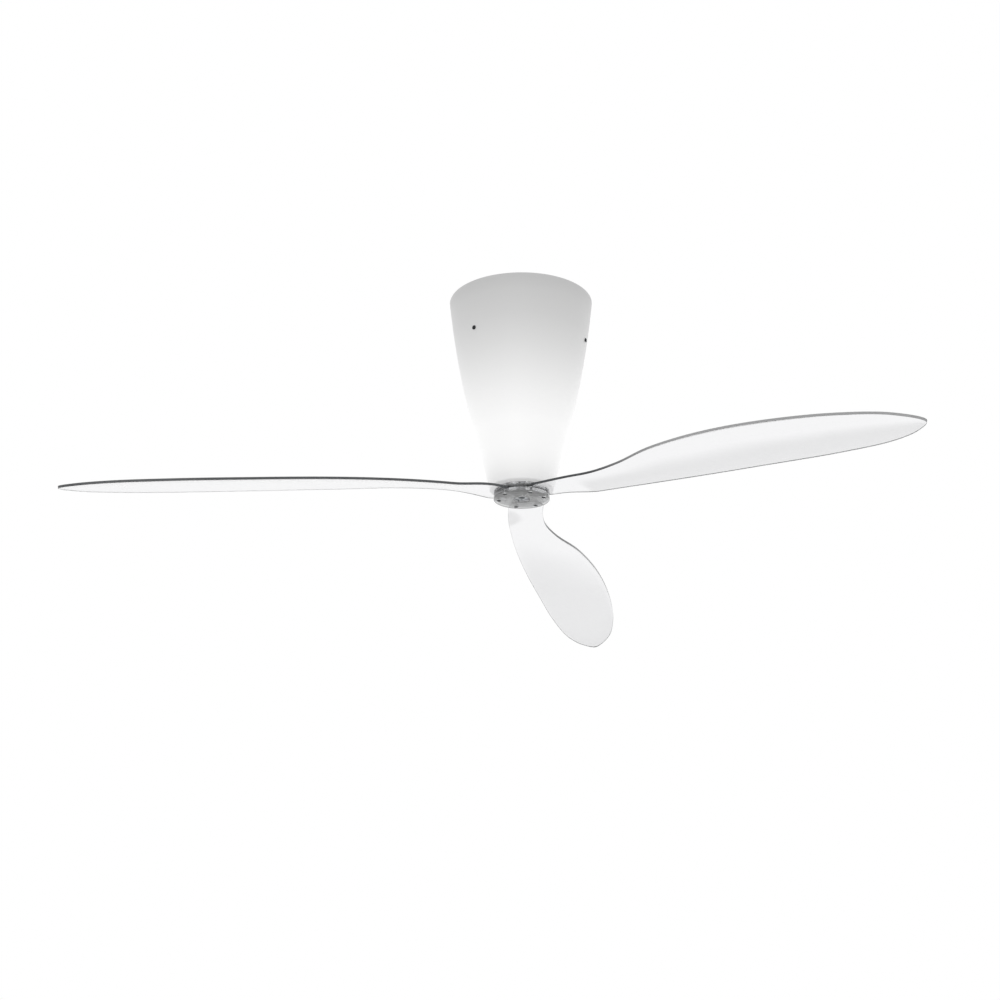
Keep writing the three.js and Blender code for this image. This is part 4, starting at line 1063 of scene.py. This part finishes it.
def grooved_side(start, end):
    """The outside of a cup from one height to the other, with its grooves spread over it."""
    height = GROOVE_HEIGHT if end > start else -GROOVE_HEIGHT
    points = []
    for k in range(GROOVES):
        middle = start + (end - start) * (k + 1) / (GROOVES + 1)
        points += [(motor_radius, middle - height / 2), (motor_radius - GROOVE_DEPTH, middle - height / 4),
                   (motor_radius - GROOVE_DEPTH, middle + height / 4), (motor_radius, middle + height / 2)]
    return points


def cover_outline(end, split, race, hole):
    """A cup from its closed end to the split, with a boss up to the race and a hole on the axis."""
    into = 1 if split > end else -1
    inside, corner = end + into * CAST_WALL, end + into * COVER_CORNER
    section = [(hole, end), (hole, inside), (RACE_SEAT, inside), (RACE_SEAT, race), (BEARING_BOSS, race),
               (BEARING_BOSS + 1 * MM, inside), (inner_radius - INNER_CORNER, inside),
               (inner_radius, inside + into * INNER_CORNER), (inner_radius, split), (motor_radius, split)]
    rounding = arc((motor_radius - COVER_CORNER, corner), COVER_CORNER, 0, -90 * into, steps=6)
    return section + grooved_side(split, corner) + rounding


top_outline = cover_outline(cover_top, top_split, size_of("top_bearing_outer_ring")[1], 0)
top_cover = turned("motor_cover_top", top_outline, CASTING, FIXED, sides=128)
combine(top_cover, rods_at(stud_places, STUD_BOSS, stud_end - 3 * MM, cover_inside + OVERLAP, CASTING)
        + rods_at(bolt_centres, BOLT_BOSS, core_high + SEAT, cover_inside + OVERLAP, CASTING), "UNION")
combine(top_cover, rods_at(stud_places, STUD_HOLE, stud_end - SEAT, cover_top + FAR, CASTING)
        + rods_at(bolt_centres, BOLT_HOLE, core_high - OVERLAP, cover_top + FAR, CASTING)
        + [rod(LEAD_HOLE, inner_radius - INNER_CORNER, motor_radius + FAR, CASTING,
               radial(MOTOR_LEAD_AZIMUTH, lead_exit))])
dress(top_cover, "motor_top_cover")

base_outline = cover_outline(base_bottom, low_split, size_of("bottom_bearing_outer_ring")[2], BASE_BORE)
base_outline[1:] = base_outline[:0:-1]    # the same section, followed from the outside in
bottom_cover = turned("motor_cover_bottom", base_outline, CASTING, FIXED, sides=128)
combine(bottom_cover, rods_at(bolt_centres, BOLT_BOSS, base_bottom + OVERLAP, core_low - SEAT, CASTING),
        "UNION")
combine(bottom_cover, rods_at(bolt_centres, BOLT_HOLE, base_bottom - FAR, core_low + OVERLAP, CASTING))
dress(bottom_cover, "motor_bottom_cover")

# %% Motor bolts
BOLT_HEAD = 3.8 * MM
_, tray_low, tray_high, _ = size_of("lamp_tray")
for number, centre in enumerate(bolt_centres, start=1):
    place = upright(centre)
    _, low, high, _ = size_of(f"motor_bolt_{number}")
    head = socket_head(BOLT_HEAD, high - 2.6 * MM, high, 2 * MM, BRIGHT_STEEL, place, downward=False)
    nut = hex_nut(BOLT_HEAD, 1.6 * MM, tray_low - 2.8 * MM, tray_low - SEAT, BRIGHT_STEEL, place)
    stem = rod(2 * MM, tray_low, high - 2 * MM, BRIGHT_STEEL, place, sides=32)
    tail = threaded(*M4, low, tray_low + 1 * MM, BRIGHT_STEEL, place)
    bolt = joined(f"motor_bolt_long_{number}", [head, stem, nut, tail], FIXED)
    dress(bolt, f"motor_bolt_{number}")

# %% Finishes for the solids inside the motor
INSIDE = {
    "stator_core": LAMINATION, "rotor_core": LAMINATION, "stator_windings": COPPER, "rotor_cage": CASTING,
    "drive_shaft": BRIGHT_STEEL, "preload_washer": BRIGHT_STEEL,
}
INSIDE.update({f"{end}_bearing_{part}": BRIGHT_STEEL
               for end in ("top", "bottom") for part in ("outer_ring", "inner_ring", "balls")})
for node, material in INSIDE.items():
    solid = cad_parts[node]
    solid.data.materials.clear()
    solid.data.materials.append(material)
print("motor:", len(INSIDE), "solids keep their frame shapes")

# %% [markdown]
# ## Lamps
#
# Two lamps hang under a painted tray, in porcelain lampholders. Each lamp is a frosted globe on a ribbed
# white body with a nickel-plated screw cap, so its parts differ in gloss as real ones do. The globes
# glow a little warmer than the shade. The opal wall hides them in the photograph.

# %% Tray, tube, lampholders and lamps
TRAY_BORE, TRAY_EDGE, LEAD_PASS = 9.2 * MM, 0.6 * MM, 3.1 * MM
TRAY_INLET_GAP, TRAY_INLET_AZIMUTH = 9, 40      # millimetres outside the motor, and degrees
TUBE_BORE, TUBE_RADIUS, TUBE_FLANGE, TUBE_FLANGE_SHEET = 7.2 * MM, 9 * MM, 14 * MM, 1.5 * MM
HOLDER_STEPS = [(1.5, 0), (1.5, 9), (0, 11), (0, 15), (1, 16), (1, 20), (0, 21)]    # mm inwards, mm down
HOLDER_WALL, HOLDER_TOP = 3.6 * MM, 5 * MM
BODY_HEIGHT, NECK_HEIGHT, NECK_RADIUS = 50 * MM, 10 * MM, 13.6 * MM
CAP_RADIUS, CAP_PITCH = 13.2 * MM, 3.6 * MM
GLOBE_RADIUS, GLOBE_WALL = 28 * MM, 1.5 * MM
tray = ring("lamp_tray_painted", TRAY_BORE, size_of("lamp_tray")[0], tray_low, tray_high, TRAY_EDGE,
            POWDER, FIXED, sides=128)
tray_inlet = around(motor_radius + TRAY_INLET_GAP * MM, TRAY_INLET_AZIMUTH)
combine(tray, holes_through(bolt_centres, BOLT_HOLE, tray_low, tray_high, POWDER)
        + holes_through([tray_inlet], LEAD_PASS, tray_low, tray_high, POWDER))
dress(tray, "lamp_tray")

tube_low, tube_high = (corner.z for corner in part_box("shaft_tube"))
tube_flange = tube_high - TUBE_FLANGE_SHEET
tube = turned("shaft_tube_painted", soft_outline(
    [(TUBE_BORE, tube_low), (TUBE_RADIUS, tube_low), (TUBE_RADIUS, tube_flange), (TUBE_FLANGE, tube_flange),
     (TUBE_FLANGE, tube_high), (TUBE_BORE, tube_high)], 0.5 * MM), POWDER, FIXED, sides=64)
dress(tube, "shaft_tube")


def ribbed_body(low, cap_top, place):
    """A lamp's plastic body with cooling ribs, and its screw cap."""
    neck_top = low + BODY_HEIGHT
    section = [(0, low), (25 * MM, low), (26 * MM, low + 1 * MM), (26 * MM, low + 3 * MM),
               (24 * MM, low + 8 * MM), (NECK_RADIUS, neck_top - NECK_HEIGHT), (NECK_RADIUS, neck_top),
               (0, neck_top)]
    body = turned("body", section, WHITE_ABS, place=place, sides=72)
    combine(body, [block((6 * MM, 1.6 * MM, 22 * MM), (20.5 * MM, 0, low + 21 * MM), WHITE_ABS,
                         place @ Matrix.Rotation(2 * pi * k / 12, 4, "Z")) for k in range(12)])
    cap = threaded(CAP_RADIUS, CAP_PITCH, neck_top - 0.5 * MM, cap_top, NICKEL, place, sides=48)
    return [body, cap]


def globe_outline(centre, top):
    """A globe with a thin wall, open at the top where it meets the body."""
    outside, inside = [arc((0, centre), radius, -90, degrees(asin((top - centre) / radius)), steps=28)
                       for radius in (GLOBE_RADIUS, GLOBE_RADIUS - GLOBE_WALL)]
    outside[0], inside[0] = (0, centre - GLOBE_RADIUS), (0, centre - GLOBE_RADIUS + GLOBE_WALL)
    return outside + inside[::-1]


for number in (1, 2):
    radius, low, high, centre = size_of(f"lampholder_{number}")
    place = upright(centre)
    section = [(0, high)] + [(radius - inwards * MM, high - down * MM) for inwards, down in HOLDER_STEPS]
    section += [(radius, low), (radius - HOLDER_WALL, low), (radius - HOLDER_WALL, high - HOLDER_TOP),
                (0, high - HOLDER_TOP)]
    holder = turned(f"lampholder_porcelain_{number}", soft_outline(section, 0.6 * MM), PORCELAIN, FIXED,
                    place=place, sides=72)
    dress(holder, f"lampholder_{number}")
    _, low, high, _ = size_of(f"lamp_body_{number}")
    body = joined(f"lamp_body_ribbed_{number}", ribbed_body(low, high, place), FIXED)
    dress(body, f"lamp_body_{number}")
    _, low, high, _ = size_of(f"lamp_globe_{number}")
    globe = turned(f"lamp_globe_frosted_{number}", globe_outline(low + GLOBE_RADIUS, high), FROSTED, FIXED,
                   place=place, sides=72, sharp=60)
    dress(globe, f"lamp_globe_{number}")
print("lamps: tray, tube, 2 holders, 2 lamps")

# %% [markdown]
# ## Receiver, capacitor, terminal block and leads
#
# On the carrier sit the remote control's receiver in its white box, the motor's run capacitor and the
# terminal block for the mains. A moulded box has a lid with a fine joint, rounded corners and screws at
# the corners. The block has a row of brass clamp screws in deep holes. Two sheathed leads run down from
# the receiver, one into the motor and one through the tray, along the same points as in the frame.

# %% Electrical pieces
JOINT_HEIGHT, JOINT_DEPTH = 0.8 * MM, 0.6 * MM
LID_SCREW, LID_HOLE, LID_SINK = 2.2 * MM, 2.6 * MM, 1.2 * MM
POLE_RADIUS, CLAMP_RADIUS, CLAMP_LOW, CLAMP_TOP = 2.6 * MM, 2.3 * MM, 8 * MM, 12 * MM


def soft_block(low, high, material, edge, segments):
    """A block with rounded edges from corner to corner."""
    piece = rounded(block(high - low, (high + low) / 2, material), edge, segments)
    return apply_modifiers(piece, sharp=40)


def moulded_box(low, high, material, edge, joint_share):
    """A box with rounded edges and the joint of its lid, at that share of its height."""
    size, centre = high - low, (high + low) / 2
    joint = (centre.x, centre.y, low.z + size.z * joint_share)
    case = soft_block(low, high, material, edge, segments=4)
    band = block((size.x + FAR, size.y + FAR, JOINT_HEIGHT), joint, material)
    core = block((size.x - 2 * JOINT_DEPTH, size.y - 2 * JOINT_DEPTH, 2 * MM), joint, material)
    return combine(case, [combine(band, [core])])


def lid_screw(place, top):
    screw = ring("screw", 0, LID_SCREW, top - 2 * MM, top, 0.4 * MM, BRIGHT_STEEL, place=place, sides=24)
    return combine(screw, [cross_recess(top, 0.9 * MM, place)])


low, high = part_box("receiver_module")
centre = (high + low) / 2
receiver = moulded_box(low, high, WHITE_ABS, 2.5 * MM, 0.72)
corners = [(centre.x + i * (high.x - low.x) / 2 * 0.86, centre.y + j * (high.y - low.y) / 2 * 0.7)
           for i in (-1, 1) for j in (-1, 1)]
combine(receiver, rods_at(corners, LID_HOLE, high.z - 3 * MM, high.z + FAR, WHITE_ABS))
lid_screws = [lid_screw(upright(p), high.z - LID_SINK) for p in corners]
combine(receiver, [block((1.4 * MM, 14 * MM, 3 * MM), (centre.x + 4 * MM * k, centre.y, high.z), WHITE_ABS)
                   for k in range(-4, 5)])
dress(joined("receiver_box", [receiver] + lid_screws, FIXED), "receiver_module")

low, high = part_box("run_capacitor")
centre = (high + low) / 2
capacitor = moulded_box(low, high, GREY_ABS, 3 * MM, 0.08)
tab_places = [(centre.x, centre.y + k * 12 * MM) for k in (-1, 1)]
combine(capacitor, [block((8 * MM, 7 * MM, 3 * MM), (*p, high.z), GREY_ABS) for p in tab_places])
tabs = [block((6.3 * MM, 0.8 * MM, 3.4 * MM), (*p, high.z - 2 * MM), BRIGHT_STEEL) for p in tab_places]
dress(joined("capacitor_box", [capacitor] + tabs, FIXED), "run_capacitor")

low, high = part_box("terminal_block")
size, centre = high - low, (high + low) / 2
terminal = soft_block(low, high, NYLON, 1.2 * MM, segments=3)
poles = [(centre.x, low.y + size.y * (k + 0.5) / 4) for k in range(4)]
combine(terminal, rods_at(poles, POLE_RADIUS, low.z + CLAMP_LOW, high.z + FAR, NYLON, sides=32)
        + [block((size.x + FAR, 1.2 * MM, 6 * MM), (centre.x, low.y + size.y * k / 4, high.z), NYLON)
           for k in (1, 2, 3)])
clamps = [combine(ring("clamp", 0, CLAMP_RADIUS, low.z + CLAMP_LOW, low.z + CLAMP_TOP, 0.3 * MM, BRASS,
                       place=upright(p), sides=24),
                  [block((6 * MM, 0.8 * MM, 2 * MM), (*p, low.z + CLAMP_TOP), BRASS)]) for p in poles]
dress(joined("terminal_block_moulded", [terminal] + clamps, FIXED), "terminal_block")

# %% Leads
LEAD_RADIUS = 2.5 * MM
receiver_low, receiver_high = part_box("receiver_module")
receiver_side = (receiver_high.x - receiver_low.x) / 2 + 0.4 * MM
receiver_y = (receiver_high.y + receiver_low.y) / 2
lead_height = carrier_top + 11 * MM


def beside(gap, azimuth, height):
    """A point that many millimetres outside the motor."""
    return (*around(motor_radius + gap * MM, azimuth), height)


def from_receiver(side):
    """The first two points of a lead, level with the receiver, on that side of it."""
    return [(side * out, receiver_y, lead_height) for out in (receiver_side, receiver_side + 8 * MM)]


def lead(name, node, points):
    """A round sheathed lead along a smooth route, as a closed tube."""
    route = smooth_curve(points, per_span=14, power=0)
    vertices, sides = [], 20
    across = Vector((0, 0, 1))
    for i, point in enumerate(route):
        along = (route[min(i + 1, len(route) - 1)] - route[max(i - 1, 0)]).normalized()
        across = (across - along * across.dot(along)).normalized()
        other = along.cross(across)
        for k in range(sides):
            turn = 2 * pi * k / sides
            vertices.append(point + LEAD_RADIUS * (across * cos(turn) + other * sin(turn)))
    dress(shape(name, vertices, tube_faces(len(route), sides), PVC, FIXED, sharp=40), node)


lead("motor_lead_sheathed", "motor_lead", from_receiver(-1) + [
    beside(15, 141, lead_height - 14 * MM), beside(17, 143, lead_exit + 9 * MM),
    beside(9, MOTOR_LEAD_AZIMUTH, lead_exit), beside(-1, MOTOR_LEAD_AZIMUTH, lead_exit)])
lead("lamp_lead_sheathed", "lamp_lead", from_receiver(1) + [
    beside(14, TRAY_INLET_AZIMUTH, lead_height - 14 * MM),
    beside(15, TRAY_INLET_AZIMUTH, (top_split + low_split) / 2),
    beside(TRAY_INLET_GAP, TRAY_INLET_AZIMUTH, tray_high + 14 * MM),
    beside(TRAY_INLET_GAP, TRAY_INLET_AZIMUTH, tray_low - 3 * MM)])
print("electrical pieces: receiver, capacitor, terminal block, 2 leads")

# %% [markdown]
# ## Light, background and floor
#
# The picture was made in a white studio: white all around, over a grey floor. The world is white for the
# camera, for reflections and for what shows through clear plastic. For other rays it is four fifths as
# bright, and two large soft lamps bring the light to the plain level at which a colour renders about as
# it is written. The floor is a grey sheet 4 m below the ceiling that turns white further away, as a
# swept backdrop does. It lies below the picture, but the blades mirror it: each face goes from white to
# grey where its mirror image passes from the backdrop to the floor.

# %% World, lamps and floor
DIFFUSE_LEVEL = 0.80
FLOOR_HEIGHT, FLOOR_RADIUS, FLOOR_SHEET, FLOOR_EDGE = -4.0, 12.0, 0.02, 0.005
FLOOR_PLACE = (1.2, -1.6, 0)    # the floor's middle lies towards the camera and to its right
FLOOR_FADE = (7.4, 8.9)         # radii between which the floor turns from grey to white


def studio_level(tree):
    """1 for the camera, reflections and clear plastic, and DIFFUSE_LEVEL for all other light."""
    rays = add_node(tree, "ShaderNodeLightPath").outputs
    seen = rays["Is Camera Ray"]
    for ray in ("Is Glossy Ray", "Is Transmission Ray"):
        either = add_node(tree, "ShaderNodeMath", {"operation": "MAXIMUM"}, {0: seen, 1: rays[ray]})
        seen = either.outputs["Value"]
    return spread(tree, seen, DIFFUSE_LEVEL, 1.0)


def white_world():
    world = bpy.data.worlds.new("white_studio")
    world.use_nodes = True
    tree = world.node_tree
    tree.nodes.clear()
    sky = add_node(tree, "ShaderNodeBackground", {"Color": linear("#FFFFFF")},
                   {"Strength": studio_level(tree)})
    add_node(tree, "ShaderNodeOutputWorld", links={"Surface": sky.outputs["Background"]})
    bpy.context.scene.world = world


def soft_lamp(name, place, aim, size, level):
    """A square soft lamp. level is the share of a surface's colour that it brings out at the aim."""
    data = bpy.data.lights.new(name, "AREA")
    data.size = size
    distance = (Vector(aim) - Vector(place)).length
    data.energy = level * pi ** 2 * distance ** 2
    lamp = bpy.data.objects.new(name, data)
    lamp.location = place
    lamp.rotation_euler = (Vector(aim) - Vector(place)).to_track_quat("-Z", "Y").to_euler()
    bpy.context.scene.collection.objects.link(lamp)


def floor_material(inner, outer):
    """A grey sheet that brightens from the inner radius to the outer one, where it meets the white world."""
    material, tree, shader = new_material("grey_studio_floor", "#9E9E9C", 0.7)
    mix_colours(tree, shader, "#9B9B99", "#A1A19F", noise(tree, 0.3))
    away = add_node(tree, "ShaderNodeVectorMath", {"operation": "LENGTH"}, {0: place_of(tree, (1, 1, 0))})
    fade = {"From Min": inner, "From Max": outer, "interpolation_type": "SMOOTHSTEP"}
    share = add_node(tree, "ShaderNodeMapRange", fade, {"Value": away.outputs["Value"]})
    light = add_node(tree, "ShaderNodeEmission", {"Color": linear("#FFFFFF")},
                     {"Strength": studio_level(tree)})
    mixed = {0: share.outputs["Result"], 1: shader.outputs["BSDF"], 2: light.outputs["Emission"]}
    sweep = add_node(tree, "ShaderNodeMixShader", links=mixed)
    tree.links.new(sweep.outputs["Shader"], node_of(tree, "OUTPUT_MATERIAL").inputs["Surface"])
    return material


white_world()
soft_lamp("camera_side_lamp", place=(0.2, -3.0, -0.7), aim=(0, 0, -0.25), size=2.4, level=0.1)
soft_lamp("top_lamp", place=(0.4, 0.6, 2.6), aim=(0, 0, -0.2), size=2.4, level=0.16)
floor = ring("studio_floor", 0, FLOOR_RADIUS, FLOOR_HEIGHT - FLOOR_SHEET, FLOOR_HEIGHT, FLOOR_EDGE,
             floor_material(*FLOOR_FADE), sides=128)
floor.location = FLOOR_PLACE
bpy.context.scene.view_settings.view_transform = "Standard"
print("light: white world at a lower level for the object, two soft lamps")
